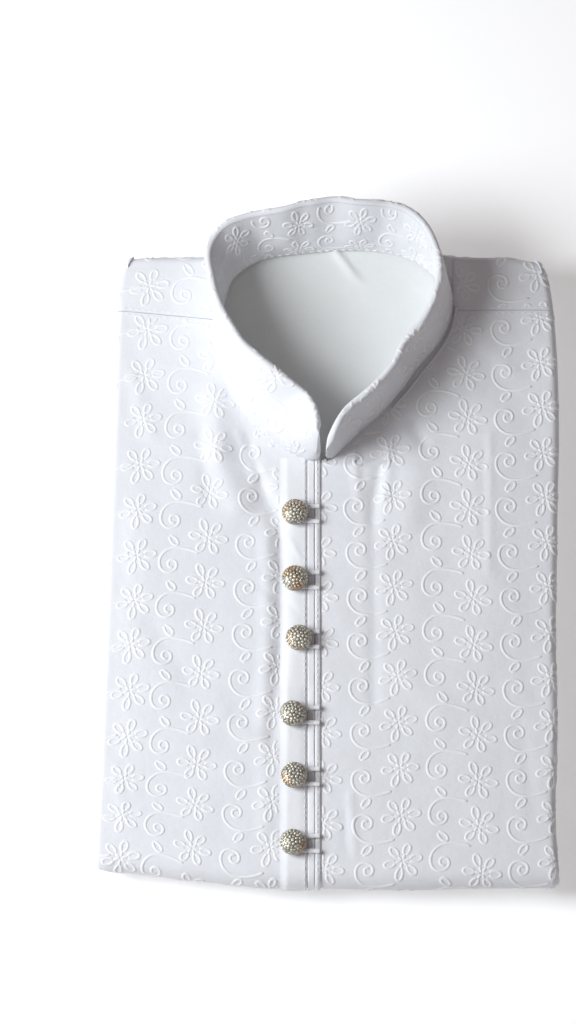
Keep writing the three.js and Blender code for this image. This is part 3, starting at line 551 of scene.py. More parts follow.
def tip_swell(u, v):
    """How far the band's front ends come out past their foot."""
    swell = np.sin(math.pi * np.clip(v, 0, 1) ** 0.8)
    drawn_in = TIP_DRAWN_IN * (1 - np.clip(v, 0, 1)) ** 5
    left = np.exp(-((u * NECK_LENGTH / TIP_REACH) ** 2)) * (swell * TIP_FULLNESS[0] - drawn_in)
    right = np.exp(-(((1 - u) * NECK_LENGTH / TIP_REACH) ** 2)) * swell * TIP_FULLNESS[1]
    ends = BASE_CURVE.at(np.array([0.0, 0.004, 0.996, 1.0]))
    return left[..., None] * unit(ends[0] - ends[1]) + right[..., None] * unit(ends[3] - ends[2])


def collar_middle(u, v):
    """The band's middle surface: u along the neck and v up the band, both as shares."""
    share = BASE_CURVE.share_at(u)
    height = collar_height(u)
    lean = LEAN_CURVE.at(share)
    reach = np.minimum(np.linalg.norm(lean, axis=-1), height * 0.9)
    lean = unit(lean) * reach[..., None]
    foot = BASE_CURVE.at(share)
    foot_z = TOP + relief(foot[..., 0], foot[..., 1]) - COLLAR_SINK
    rise = np.sqrt(height * height - reach * reach)
    second, third = 2 * v * (1 - v), v * v
    xy = foot + lean * third[..., None] + tip_swell(u, v)
    z = foot_z + second * COLLAR_STAND * height + third * rise
    return np.concatenate([xy, z[..., None]], -1)


def collar_outward(u, v):
    """The direction away from the neck, square to the band."""
    small = 1e-3
    along = collar_middle(np.clip(u + small, 0, 1), v) - collar_middle(np.clip(u - small, 0, 1), v)
    up = collar_middle(u, np.clip(v + small, 0, 1)) - collar_middle(u, np.clip(v - small, 0, 1))
    return unit(np.cross(up, along))


def collar_pleat(u, v):
    """How far the pleats push the band outwards."""
    push = np.zeros(np.broadcast(u, v).shape)
    for along, width, outwards in COLLAR_PLEATS:
        push = push + outwards * np.exp(-(((u - along) * NECK_LENGTH / width) ** 2))
    return push * smoothstep(v, 0.05, 0.5)


def band_half(u):
    """Half the band's thickness: it thins to a soft edge at its front ends."""
    from_end = np.minimum(np.minimum(u, 1 - u) * NECK_LENGTH / BAND_END, 1)
    return COLLAR_HALF * np.maximum(np.sqrt(1 - (1 - from_end) ** 2), 0.15)


def collar_outside(along, up):
    """The outer ply: up the outside, round the rim and a little way down inside."""
    u = np.clip(along / NECK_LENGTH, 0, 1)
    height = collar_height(u)
    v = np.clip(up / height, 0, 1)
    beyond = np.maximum(up - height, 0)
    half = band_half(u)
    turn = np.minimum(beyond / COLLAR_HALF, math.pi)
    down = np.maximum(beyond - math.pi * COLLAR_HALF, 0)
    middle = collar_middle(u, v)
    upward = unit(middle - collar_middle(u, v - 0.04))
    sway = 0.12 * np.sin(along / 3.7 + 2 * np.sin(along / 11)) * np.sin(turn)
    out = collar_pleat(u, v) + (half + sway) * np.cos(turn)
    rise = (half + sway) * np.sin(turn) - down
    return middle + collar_outward(u, v) * out[..., None] + upward * rise[..., None]


def collar_inside(along, up):
    """The inner ply, on the side of the neck."""
    u = np.clip(along / NECK_LENGTH, 0, 1)
    v = np.clip(up / collar_height(u), 0, 1)
    return collar_middle(u, v) + collar_outward(u, v) * (collar_pleat(u, v) - band_half(u))[..., None]


# Pieces as meshes

def place(points):
    """From the layout to the frame. The near end lies a little askew, as its near fold does."""
    points = np.array(points, float)
    share = 1 - smoothstep(points[..., 1], *NEAR_SETTLE)
    points[..., 1] += share * through(NEAR_EDGE, points[..., 0])
    return (points + LAYOUT_SHIFT) * MM


def enclosed(points, blocks):
    """Six times the volume inside the faces, below 0 where they face inwards."""
    total = 0.0
    for block in blocks:
        corners = points[block]
        for k in range(1, block.shape[1] - 1):
            total += np.einsum("ij,ij->", corners[:, 0], np.cross(corners[:, k], corners[:, k + 1]))
    return total


def new_piece(name, points, blocks, finish, flow, smooth_under):
    """A mesh object from points in the layout and blocks of faces, with its own map for the weave."""
    points = place(points)
    if enclosed(points - points.mean(0), blocks) < 0:
        blocks = [block[:, ::-1] for block in blocks]
    mesh = bpy.data.meshes.new(name)
    mesh.from_pydata(points.tolist(), [], [face for block in blocks for face in block.tolist()])
    piece = bpy.data.objects.new(name, mesh)
    bpy.context.scene.collection.objects.link(piece)
    corners = np.zeros(len(mesh.loops), np.int32)
    mesh.loops.foreach_get("vertex_index", corners)
    chart = mesh.uv_layers.new(name="flow")
    chart.data.foreach_set("uv", (np.asarray(flow, float)[corners] * MM).ravel())
    mesh.materials.append(finish)
    select_only(piece)
    bpy.ops.object.shade_smooth_by_angle(angle=math.radians(smooth_under))
    piece.select_set(False)
    return piece


def select_only(*objects):
    bpy.ops.object.select_all(action="DESELECT")
    for one in objects:
        one.select_set(True)
    bpy.context.view_layer.objects.active = objects[0]


def grid_normals(grid):
    down = np.concatenate([grid[1:2] - grid[:1], grid[2:] - grid[:-2], grid[-1:] - grid[-2:-1]])
    across = np.concatenate([
        grid[:, 1:2] - grid[:, :1], grid[:, 2:] - grid[:, :-2], grid[:, -1:] - grid[:, -2:-1],
    ], 1)
    return unit(np.cross(down, across))


def wall_faces(rows, columns):
    """Faces of a closed sheet: two grids of points and the four rims between them."""
    upper, lower = np.arange(2 * rows * columns).reshape(2, rows, columns)

    def quads(*corners):
        return np.stack(corners, -1).reshape(-1, 4)

    return np.concatenate([
        quads(upper[:-1, :-1], upper[1:, :-1], upper[1:, 1:], upper[:-1, 1:]),
        quads(lower[:-1, :-1], lower[:-1, 1:], lower[1:, 1:], lower[1:, :-1]),
        quads(upper[0, :-1], upper[0, 1:], lower[0, 1:], lower[0, :-1]),
        quads(upper[-1, 1:], upper[-1, :-1], lower[-1, :-1], lower[-1, 1:]),
        quads(upper[1:, 0], upper[:-1, 0], lower[:-1, 0], lower[1:, 0]),
        quads(upper[:-1, -1], upper[1:, -1], lower[1:, -1], lower[:-1, -1]),
    ])


def tube_faces(index):
    """Faces round a tube, from the numbers of its points: a row for each ring."""
    turned = np.roll(index, -1, axis=1)
    return np.stack([index[:-1], turned[:-1], turned[1:], index[1:]], -1).reshape(-1, 4)


def new_cloth(name, outer, inner, flow, finish):
    """A closed sheet between two grids of points."""
    rows, columns = outer.shape[:2]
    points = np.concatenate([outer.reshape(-1, 3), inner.reshape(-1, 3)])
    chart = np.concatenate([flow.reshape(-1, 2)] * 2)
    return new_piece(name, points, [wall_faces(rows, columns)], finish, chart, 42)


def cut_area(flow):
    """Flat area of a panel's cut, in square metres, from its grid in the cloth."""
    a, b, c, d = flow[:-1, :-1], flow[1:, :-1], flow[1:, 1:], flow[:-1, 1:]
    one, two = c - a, d - b
    return float(np.abs(one[..., 0] * two[..., 1] - one[..., 1] * two[..., 0]).sum() / 2) * MM * MM


def cut_size(flow):
    return tuple(float(extent) * MM for extent in np.ptp(flow.reshape(-1, 2), axis=0))


def declare(piece, slot, *nodes):
    """Fixes a piece to the part and hides the solids that it stands for. Its slot, the finish's name, is
    not used.
    """
    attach(piece, "root")
    if nodes:
        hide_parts(*nodes)


def declare_cloth(piece, flow, node, slot, sewn=()):
    """Declares a sheet and what is sewn on it. flow is the grid of its cut."""
    declare(piece, slot, node)
    for extra in sewn:
        declare(extra, slot)
    width, length = cut_size(flow)
    area = min(cut_area(flow), width * length)


# Sewn lines: each is a low rounded cord laid on a surface

SEWN_SECTION = np.array([(-0.5, -0.22), (-0.3, 0.66), (0.0, 1.0), (0.3, 0.66), (0.5, -0.22)])


def laid_on(surface, lines):
    """Points and outward directions of lines on a surface."""
    flat = np.concatenate(lines)
    small = 0.05
    points = surface(flat[:, 0], flat[:, 1])
    along = surface(flat[:, 0] + small, flat[:, 1]) - surface(flat[:, 0] - small, flat[:, 1])
    up = surface(flat[:, 0], flat[:, 1] + small) - surface(flat[:, 0], flat[:, 1] - small)
    return points, unit(np.cross(along, up))


def sew(name, surface, lines, width, height, finish, flip=False, narrow=0.45):
    """One mesh of raised lines on a surface. narrow is the share of the section that their ends keep."""
    points, outward = laid_on(surface, lines)
    if flip:
        outward = -outward
    count = len(SEWN_SECTION)
    corners, quads, caps, flow = [], [], [], []
    start = first = 0
    for line in lines:
        stop = start + len(line)
        path, out = points[start:stop], outward[start:stop]
        side = unit(np.cross(out, np.gradient(path, axis=0)))
        full = np.ones(len(path))
        full[0] = full[-1] = narrow
        wide = (width * full)[:, None, None] * SEWN_SECTION[None, :, :1]
        tall = (height * full)[:, None, None] * SEWN_SECTION[None, :, 1:]
        corners.append((path[:, None] + side[:, None] * wide + out[:, None] * tall).reshape(-1, 3))
        travelled = np.concatenate([[0], np.cumsum(np.linalg.norm(np.diff(path, axis=0), axis=1))])
        chart = np.broadcast_arrays(travelled[:, None], np.arange(count) * width / 2)
        flow.append(np.stack(chart, -1).reshape(-1, 2))
        index = first + np.arange(len(path) * count).reshape(-1, count)
        quads.append(tube_faces(index))
        caps.append(np.stack([index[0][::-1], index[-1]]))
        start = stop
        first += len(path) * count
    blocks = [np.concatenate(quads), np.concatenate(caps)]
    return new_piece(name, np.concatenate(corners), blocks, finish, np.concatenate(flow), 75)


def runs_inside(line, inside):
    """The stretches of a line that lie inside the panel."""
    keep = inside(line[:, 0], line[:, 1])
    runs, start = [], None
    for k, kept in enumerate(list(keep) + [False]):
        if kept and start is None:
            start = k
        elif not kept and start is not None:
            if k - start >= 3:
                runs.append(line[start:k])
            start = None
    return runs


def stitch_row(line, stitch=2.7, space=0.9):
    """A line of topstitching as short pieces of thread."""
    line = resampled(line, 0.45)
    step = np.linalg.norm(np.diff(line, axis=0), axis=1).mean()
    each, gap = max(int(round(stitch / step)), 3), max(int(round(space / step)), 1)
    return [line[k:k + each] for k in range(0, len(line) - each, each + gap)]


# Motifs, in millimetres round their middle

def petal(angle, length=6.3, start=3.7, half_width=1.75):
    """An open leaf shape, round at both ends and fullest beyond its middle."""
    turn = np.linspace(0, 2 * math.pi, 60)
    reach = (1 - np.cos(turn)) / 2
    side = half_width * 2.13 * reach ** 0.6 * np.sqrt(1 - reach) * np.sign(math.pi - turn)
    along = start + length * reach
    cos, sin = math.cos(math.radians(angle)), math.sin(math.radians(angle))
    return np.stack([along * cos - side * sin, along * sin + side * cos], -1)


def flower():
    lines = [petal(angle, length, start) for angle, length, start in PETALS]
    for angle, _, start in PETALS:
        across = np.array([math.cos(math.radians(angle)), math.sin(math.radians(angle))])
        lines.append(np.linspace(0.3, start + 0.4, 5)[:, None] * across)
    return lines


def spiral():
    angle, radius = resampled(SPIRAL_ARM, 4.0).T
    curl = radius[:, None] * np.stack([np.cos(np.radians(angle)), np.sin(np.radians(angle))], -1)
    arm = SmoothCurve(np.concatenate([curl[::5], SPIRAL_TAIL]))
    leaf = petal(47, length=6.6, start=0.0, half_width=1.7) + SPIRAL_LEAF
    return [arm.at(np.linspace(0, 1, 130)), leaf]


MOTIFS = {"flower": flower(), "spiral": spiral()}
STROKE_STEP = 0.95


def motif_lines(motif, turned, x, y, random):
    """The lines of one motif at x and y, each sewn a little differently."""
    tilt = math.radians(random.uniform(-5, 5))
    size = random.uniform(0.95, 1.04)
    matrix = np.array([[math.cos(tilt), math.sin(tilt)], [-math.sin(tilt), math.cos(tilt)]]) * size
    nudge = np.array([x + random.uniform(-0.5, 0.5), y + random.uniform(-0.5, 0.5)])
    for line in MOTIFS[motif]:
        upright = line * (1.0, -1.05 if turned else 1.05)
        yield resampled(upright @ matrix + nudge, STROKE_STEP)


def lattice(columns, low, high, inside, seed):
    """The lines of the motifs in their columns from low to high, kept where they lie inside the panel."""
    random = np.random.default_rng(seed)
    lines = []
    for motif, turned, x, y, shift in columns:
        first = math.ceil((low - y) / MOTIF_REPEAT)
        last = math.floor((high - y) / MOTIF_REPEAT)
        for k in range(first, last + 1):
            at = y + k * MOTIF_REPEAT
            for line in motif_lines(motif, turned, x + shift * (at - MID_LENGTH), at, random):
                lines.extend(runs_inside(line, inside))
    return lines


# Shader arithmetic

class Wire:
    """A node's output that takes part in plain arithmetic."""

    def __init__(self, finish, socket):
        self.finish = finish
        self.socket = socket

    def math(self, operation, *others):
        values = {k: other for k, other in enumerate((self, *others))}
        return self.finish.node("ShaderNodeMath", {"operation": operation}, values)

    def __add__(self, other):
        return self.math("ADD", other)

    __radd__ = __add__

    def __mul__(self, other):
        return self.math("MULTIPLY", other)

    __rmul__ = __mul__

    def __sub__(self, other):
        return self.math("SUBTRACT", other)

    def __rsub__(self, other):
        return (self * -1) + other

    def sine(self):
        return self.math("SINE")


class Finish:
    """A material: its shader with the constants set, and nodes added one at a time."""

    def __init__(self, name, constants):
        self.material = bpy.data.materials.new(name)
        self.material.use_nodes = True
        self.tree = self.material.node_tree
        self.shader = self.tree.nodes["Principled BSDF"]
        for socket, value in constants.items():
            self.shader.inputs[socket].default_value = value

    def node(self, kind, settings=None, values=None, output=0):
        made = self.tree.nodes.new(kind)
        for setting, value in (settings or {}).items():
            if setting == "stops":
                self.set_stops(made.color_ramp, value)
            else:
                setattr(made, setting, value)
        for socket, value in (values or {}).items():
            if isinstance(value, Wire):
                self.tree.links.new(value.socket, made.inputs[socket])
            else:
                made.inputs[socket].default_value = value
        return Wire(self, made.outputs[output])

    def set_stops(self, ramp, stops):
        while len(ramp.elements) < len(stops):
            ramp.elements.new(1.0)
        for element, (position, colour) in zip(ramp.elements, stops):
            element.position = position
            element.color = (*colour, 1.0)

    def feed(self, socket, wire):
        self.tree.links.new(wire.socket, self.shader.inputs[socket])

    def flow(self):
        chart = self.node("ShaderNodeUVMap", {"uv_map": "flow"})
        split = {"Vector": chart}
        return (
            self.node("ShaderNodeSeparateXYZ", None, split, "X"),
            self.node("ShaderNodeSeparateXYZ", None, split, "Y"),
            chart,
        )

    def place(self):
        return self.node("ShaderNodeTexCoord", output="Object")

    def noise(self, where, scale, detail=3.0, roughness=0.55):
        values = {"Vector": where, "Scale": scale, "Detail": detail, "Roughness": roughness}
        return self.node("ShaderNodeTexNoise", None, values, "Fac")

    def blend(self, amount, first, second, kind="MIX"):
        settings = {"data_type": "RGBA", "blend_type": kind}
        return self.node("ShaderNodeMix", settings, {0: amount, 6: first, 7: second}, 2)

    def bump(self, height, strength, distance, under=None):
        values = {"Height": height, "Strength": strength, "Distance": distance}
        if under is not None:
            values["Normal"] = under
        return self.node("ShaderNodeBump", None, values)


def tinted(colour, factor):
    return (*[min(channel * factor, 1.0) for channel in colour], 1.0)


def cloth_finish(name, colour, pitch, weave, crumple):
    """Plain-woven cotton: threads over and under, slightly uneven, softly crumpled, with painted shade in
    its hollows.
    """
    finish = Finish(name, {
        "Roughness": 0.88, "Sheen Weight": 0.25, "Sheen Roughness": 0.45, "Specular IOR Level": 0.25,
    })
    u, v, chart = finish.flow()
    where = finish.place()
    uneven = finish.noise(chart, 900.0, 2.0)
    turns = 2 * math.pi / pitch
    warp = (u * turns + uneven * 1.6).sine()
    weft = (v * turns + uneven * 1.6).sine()
    threads = warp * weft * 0.5 + 0.5
    soft = finish.noise(where, 55.0, 4.0, 0.6)
    fine = finish.noise(where, 420.0, 3.0, 0.6)
    low = finish.bump(soft, crumple, 0.0012)
    middle = finish.bump(fine, 0.35, 0.0002, low)
    finish.feed("Normal", finish.bump(threads, weave, 0.00012, middle))
    # Painted shade: the cloth is darker where its bumps dip, in the crumple, the fine grain and the weave's
    # hollows.
    patchy = finish.blend(soft, tinted(colour, 0.965), tinted(colour, 1.035))
    painted_weave_shade = finish.blend(1.0, patchy, (0.93, 0.93, 0.935, 1.0), "MULTIPLY")
    finish.feed("Base Color", finish.blend(threads * 0.5 + fine * 0.5, painted_weave_shade, patchy))
    finish.feed("Roughness", fine * 0.12 + 0.82)
    return finish.material


def thread_finish(name, colour):
    """Embroidery: glossy strands lying across each line, with painted shade between them."""
    pitch = 0.0003
    finish = Finish(name, {"Roughness": 0.6, "Sheen Weight": 0.15, "Specular IOR Level": 0.4})
    u, v, chart = finish.flow()
    uneven = finish.noise(chart, 1500.0, 2.0)
    strands = (u * (2 * math.pi / pitch) + v * 900.0 + uneven * 2.2).sine() * 0.5 + 0.5
    finish.feed("Normal", finish.bump(strands, 0.4, 0.00012))
    # Painted shade: the grooves between the strands are darker and the strand tops lighter, as the bump
    # rises.
    finish.feed("Base Color", finish.blend(strands, tinted(colour, 0.94), tinted(colour, 1.02)))
    finish.feed("Roughness", strands * -0.14 + 0.68)
    return finish.material


def metal_finish(name, colour):
    """Antique silver: bright where rubbed, brown and dull in the hollows."""
    finish = Finish(name, {"Metallic": 1.0})
    where = finish.place()
    blotch = finish.noise(where, 900.0, 4.0, 0.65)
    grain = finish.noise(where, 4200.0, 2.0)
    finish.feed("Base Color", finish.blend(blotch, tinted(colour, 0.6), tinted(colour, 1.4)))
    finish.feed("Roughness", blotch * -0.25 + 0.5)
    finish.feed("Normal", finish.bump(grain, 0.25, 0.00008))
    return finish.material


def stone_finish(name, colour):
    """Foil-backed cut stone: its facets differ a little from stone to stone, and coppery patches are a
    painted warm reflection.
    """
    finish = Finish(name, {"Metallic": 0.45, "Roughness": 0.42, "Coat Weight": 0.3, "Coat Roughness": 0.16})
    where = finish.place()
    each = finish.noise(where, 620.0, 1.0)
    stops = [(0.34, tinted(colour, 0.45)[:3]), (0.5, colour), (0.64, tinted(colour, 1.35)[:3])]
    glass = finish.node("ShaderNodeValToRGB", {"stops": stops}, {"Fac": each})
    # Painted reflection: the coppery patches stand for warm surroundings mirrored in the stones.
    patch = finish.node("ShaderNodeValToRGB", {"stops": [(0.5, (1, 1, 1)), (0.68, (1.0, 0.74, 0.56))]},
                        {"Fac": finish.noise(where, 75.0, 1.0)})
    finish.feed("Base Color", finish.blend(1.0, glass, patch, "MULTIPLY"))
    return finish.material


def floor_finish(name, colour):
    """A pale matte floor, brightened a little so that it stays close to white."""
    glow = {"Emission Color": (1.0, 1.0, 1.0, 1.0), "Emission Strength": 0.3}
    finish = Finish(name, {"Roughness": 0.9, "Specular IOR Level": 0.1, **glow})
    mottle = finish.noise(finish.place(), 14.0, 3.0)
    finish.feed("Base Color", finish.blend(mottle, tinted(colour, 0.985), tinted(colour, 1.01)))
    return finish.material


def shared(maker, name, *values):
    """The finish of that name, made the first time it is asked for."""
    return bpy.data.materials.get(name) or maker(name, *values)


CLOTHS = {
    # colour's setting, share of the thread pitch, strength of the weave, of the crumple
    "embroidered cotton": ("cotton", 1.0, 0.35, 0.5),
    "plain cotton": ("plain", 1.0, 0.3, 0.35),
    "facing cotton": ("facing", 0.8, 0.2, 0.25),
}


def cloth(name):
    settings = bpy.context.scene.kameez_cloth
    colour, pitch, weave, crumple = CLOTHS[name]
    values = tuple(getattr(settings, colour)), settings.pitch * pitch, weave, crumple
    return shared(cloth_finish, name, *values)


def new_panel(name, surface, flow):
    """A piece of the embroidered cloth, its outer face on the surface."""
    outer = surface(flow[..., 0], flow[..., 1])
    inner = outer - grid_normals(outer) * (bpy.context.scene.kameez_cloth.wall / MM)
    return new_cloth(name, outer, inner, flow, cloth("embroidered cotton"))


def white_thread():
    return shared(thread_finish, "white thread", tuple(bpy.context.scene.kameez_embroidery.thread))


def embroider(name, surface, lines, flip=False):
    """Sews the lines as embroidery. flip is for a surface whose outside is its other side."""
    settings = bpy.context.scene.kameez_embroidery
    return sew(name, surface, lines, settings.width / MM, settings.height / MM, white_thread(), flip)


def topstitch(name, surface, rows, flip=False):
    lines = [piece for row in rows for piece in stitch_row(row)]
    return sew(name, surface, lines, 0.6, 0.32, white_thread(), flip, 0.5)


# Fronts

PANEL_NECK = neck_line(COLLAR_HALF + CLOSE)
BACK_MIDDLE = int(np.argmax(PANEL_NECK[:, 0] > BACK_X))
NECK_PARTS = {-1: PANEL_NECK[:BACK_MIDDLE], 1: PANEL_NECK[BACK_MIDDLE:][::-1]}


def crossing(line, y):
    """Where a line crosses y."""
    return np.interp(y, line[:, 1], line[:, 0])


def inner_edge(side, y):
    """Where a front ends towards the middle: at the placket, and above it at the neck."""
    neck = NECK_PARTS[side]
    placket = PLACKET_LINE - GAP if side < 0 else PLACKET_LINE
    at_neck = crossing(neck, y)
    at_neck = np.minimum(at_neck, placket) if side < 0 else np.maximum(at_neck, placket)
    return np.where(y < neck[0, 1], placket, at_neck)


def seam_y(side, x):
    """The shoulder seam: its y at x."""
    neck, far = SHOULDER_SEAM[side]
    start = float(inner_edge(side, neck))
    end = float(side_edge(side, neck)) - side * SIDE_RADIUS
    return neck + (far - neck) * np.clip((x - start) / (end - start), 0, 1)


def front_rows(side):
    """The panel's rows, from the shoulder seam down to the edge turned in under the near fold."""
    neck = SHOULDER_SEAM[side][0]
    tip = NECK_PARTS[side][0, 1]
    top = min(NECK_PARTS[-1][0, 1], NECK_PARTS[1][0, 1]) - 1.5
    return np.concatenate([
        np.linspace(neck, tip + 0.05, 44),
        np.linspace(top, NEAR_RADIUS, 122),
        NEAR_RADIUS * (1 - np.linspace(0, math.pi, 22)[1:]),
        [NEAR_RADIUS * (1 - math.pi) - UNDERTURN * share for share in (0.5, 1)],
    ])


def front_flow(side):
    """The panel's grid in the cloth: rows from the seam down, columns from its inner edge out."""
    neck, far = SHOULDER_SEAM[side]
    tip = NECK_PARTS[side][0, 1]
    flow = []
    for row in front_rows(side):
        inner = float(inner_edge(side, row))
        start = float(side_edge(side, max(row, 0))) - side * SIDE_RADIUS
        across = np.linspace(inner, start, 66)
        free = float(smoothstep(row, *FOLD_OPENS))
        end = (0.7 + 0.3 * free) * math.pi * SIDE_RADIUS
        fold = np.concatenate([np.linspace(0, end, 14)[1:], [end + max(FLANGE * free, 0.6)]])
        across = np.concatenate([across, start + side * fold])
        share = np.clip((across - inner) / (start - inner), 0, 1)
        along = row + (far - neck) * share * smoothstep(row, tip, neck)
        flow.append(np.stack([across, along], -1))
    flow = np.array(flow)
    return flow[:, ::-1] if side < 0 else flow


def front_inside(side):
    """Where a front has room for embroidery."""
    def inside(s, b):
        beyond = side * (s - side_edge(side, np.maximum(b, 0))) + SIDE_RADIUS
        free = 0.66 + 0.3 * smoothstep(b, *FOLD_OPENS)
        within = beyond < free * math.pi * SIDE_RADIUS
        placket = s < BUTTON_STAND[0] - 0.9 if side < 0 else s > PLACKET_EDGE[1] + 0.9
        neck = side * (s - inner_edge(side, b)) > 1.6
        ends = (b < seam_y(side, s) - 1.6) & (b > NEAR_RADIUS * (1 - 0.95 * math.pi))
        return within & placket & neck & ends
    return inside


class BuildFront(bpy.types.Operator):
    """Adds the two fronts with their folds, embroidery and shoulder stitching"""
    bl_idname = "kameez.fronts"
    bl_label = "Fronts"

    def execute(self, context):
        seed = context.scene.kameez_embroidery.seed
        for side, word in ((-1, "left"), (1, "right")):
            flow = front_flow(side)
            panel = new_panel(f"front_{word}", front_surface, flow)
            inside = front_inside(side)
            past_placket = 8.0
            columns = [column for column in MOTIF_COLUMNS if side * (column[2] + 5) > -past_placket]
            lines = lattice(columns, -40, 360, inside, seed + side)
            motifs = embroider(f"front_{word}_embroidery", front_surface, lines)
            clear_of_fold = 16
            across = flow[0, 3:-clear_of_fold, 0] if side > 0 else flow[0, clear_of_fold:-2, 0]
            row = np.stack([across, seam_y(side, across) - 1.4], -1)
            stitches = topstitch(f"front_{word}_shoulder_stitches", front_surface, [row])
            sewn = [motifs, stitches]
            if side > 0:
                ridge = SmoothCurve(SEAM_RIDGE).at(np.linspace(0, 1, 90))
                sewn.append(sew("neck_seam_ridge", front_surface, [ridge], 2.6, 2.4,
                                cloth("embroidered cotton"), narrow=0.2))
            declare_cloth(panel, flow, f"kameez_front_{word}", "embroidered_cotton",
                          sewn)
        return {"FINISHED"}


# Yoke

def yoke_flow():
    """The back piece's grid in the cloth: a column for each place along the seams and the neck."""
    turn = CORNER_TURN * SIDE_RADIUS
    seams = {side: at_neck + GAP for side, (at_neck, _) in SHOULDER_SEAM.items()}
    left = int(np.argmax(PANEL_NECK[:, 1] > seams[-1]))
    right = len(PANEL_NECK) - 1 - int(np.argmax(PANEL_NECK[::-1, 1] > seams[1]))
    corners = [(float(crossing(NECK_PARTS[side], seam)), seam) for side, seam in seams.items()]
    neck = resampled(np.concatenate([corners[:1], PANEL_NECK[left:right + 1], corners[1:]]), 2.0)

    def half(side):
        near, far = SHOULDER_SEAM[side]
        neck_x = neck[0, 0] if side < 0 else neck[-1, 0]
        start = float(side_edge(side, BODY_LENGTH - 40)) - side * SIDE_RADIUS
        share = np.linspace(0, 1, 26)[1:]
        flat = [(neck_x + (start - neck_x) * f, near + (far - near) * f + GAP, 0.0) for f in share]
        folded = [(start + side * a, far + GAP, 0.0) for a in np.linspace(0, turn, 12)[1:]]
        folded.append((start + side * (turn + FLANGE), far + GAP, 1.0))
        return flat + folded

    lower = half(-1)[::-1] + [(x, y, 0.0) for x, y in neck] + half(1)
    flow = []
    for low_x, low_y, flange in lower:
        left_start = float(side_edge(-1, low_y)) + SIDE_RADIUS
        right_start = float(side_edge(1, low_y)) - SIDE_RADIUS
        start = min(max(low_x, left_start), right_start)
        far = float(far_edge(start)) - SIDE_RADIUS
        outside = abs(low_x - start)
        end = turn if outside > 0 else math.pi * SIDE_RADIUS
        ys = np.concatenate([
            np.linspace(low_y, far, 20)[:-1],
            np.linspace(far, far + end, 14),
            [far + end + (0.3 if outside > 0 else FLANGE)],
        ])
        side = float(np.sign(low_x - start))
        free = 1 - smoothstep(ys, far - 26, far - 6)
        kept = turn + np.maximum(FLANGE * free, LEAST_FLANGE) if flange else np.full(len(ys), outside)
        base = side_edge(side, ys) - side * SIDE_RADIUS if side else np.full(len(ys), start)
        flow.append(np.stack([base + side * kept, ys], -1))
    return np.array(flow)


def yoke_inside(s, y):
    """Where the back piece has room for embroidery."""
    low, high = crossing(NECK_PARTS[-1], y), crossing(NECK_PARTS[1], y)
    clear = (s < low - 1.8) | (s > high + 1.8) | (y > PANEL_NECK[:, 1].max() + 1.8)
    seam = np.where(s < 0, seam_y(-1, s), seam_y(1, s))
    far = far_edge(np.clip(s, -115, 120)) - SIDE_RADIUS
    beyond = np.maximum(side_edge(-1, y) - s, s - side_edge(1, y)) + SIDE_RADIUS
    corner = (beyond > 0) & (y > far)
    return clear & (y > seam + 1.8) & (y < far + 12.0) & (beyond < 12.0) & ~corner


class BuildYoke(bpy.types.Operator):
    """Adds the back piece that comes over the shoulder fold"""
    bl_idname = "kameez.yoke"
    bl_label = "Back yoke"

    def execute(self, context):
        flow = yoke_flow()
        yoke = new_panel("back_yoke", shoulder_surface, flow)
        lines = lattice(MOTIF_COLUMNS, 320, 400, yoke_inside, context.scene.kameez_embroidery.seed + 5)
        motifs = embroider("back_yoke_embroidery", shoulder_surface, lines)
        rows = []
        for side in (-1, 1):
            ends = (float(inner_edge(side, 336)) + side * 3, float(side_edge(side, 336)) - side * 3)
            across = np.linspace(*ends, 40)
            rows.append(np.stack([across, seam_y(side, across) + 1.9], -1))
        stitches = topstitch("back_yoke_stitches", shoulder_surface, rows)
        declare_cloth(yoke, flow, "kameez_back_yoke", "embroidered_cotton",
                      [motifs, stitches])
        return {"FINISHED"}


# Placket

def strip_rows(above):
    """A strip's rows, from above the point of the neck to under the near fold."""
    top = min(NECK_PARTS[-1][0, 1], NECK_PARTS[1][0, 1]) + above
    over_fold = NEAR_RADIUS * (1 - np.linspace(0, STRIP_END, 18)[1:])
    return np.concatenate([np.linspace(top, NEAR_RADIUS, 130), over_fold])


def lifted_front(lift):
    """The front's outer face, raised."""
    def surface(s, b):
        return front_surface(s, b) + near_outward(b) * lift
    return surface


class BuildPlacket(bpy.types.Operator):
    """Adds the plain strips of the front opening with their edge stitching"""
    bl_idname = "kameez.placket"
    bl_label = "Placket"

    def execute(self, context):
        # name, strip, node, how its edges ease down on the left and right, rows above the neck, seam
        parts = (
            ("button_strip", BUTTON_STAND, "placket_button_stand", (5.0, 0.7), 2.0, 13.4),
            ("underlap_strip", UNDERLAP, "placket_underlap", (0.6, 0.6), 5.0, None),
            ("edge_strip", PLACKET_EDGE, "placket_edge", (0.6, 1.5), 5.0, 1.1),
        )
        for name, (start, end, thickness), node, (ease_left, ease_right), above, seam in parts:
            low, high = start - STRIP_OVERLAP, end + STRIP_OVERLAP
            across = np.linspace(low, high, 19)
            rows = strip_rows(above)
            flow = np.stack(np.meshgrid(across, rows), -1)
            rounding = np.minimum(1, np.minimum((across - low) / ease_left, (high - across) / ease_right))
            profile = np.sin(rounding * math.pi / 2) * thickness * 0.5 + thickness * 0.5
            profile = profile * smoothstep(across - low + 0.8, 0, ease_left)
            waver = 0.14 * np.sin(rows / 3.1 + np.sin(rows / 9.0) * 2)[:, None] * rounding
            heights = GAP + profile + waver
            out = near_outward(flow[..., 1])
            base = front_surface(flow[..., 0], flow[..., 1])
            outer, inner = base + out * heights[..., None], base + out * 0.12
            strip = new_cloth(name, outer, inner, flow, cloth("plain cotton"))
            declare(strip, "plain_cotton", node)
            if seam:
                surface = lifted_front(GAP + thickness)
                line = np.stack([np.full(120, start + seam), np.linspace(rows[0] - 1, -8, 120)], -1)
                declare(topstitch(f"{name}_stitches", surface, [line]), "plain_cotton")
        return {"FINISHED"}


# Collar and facing

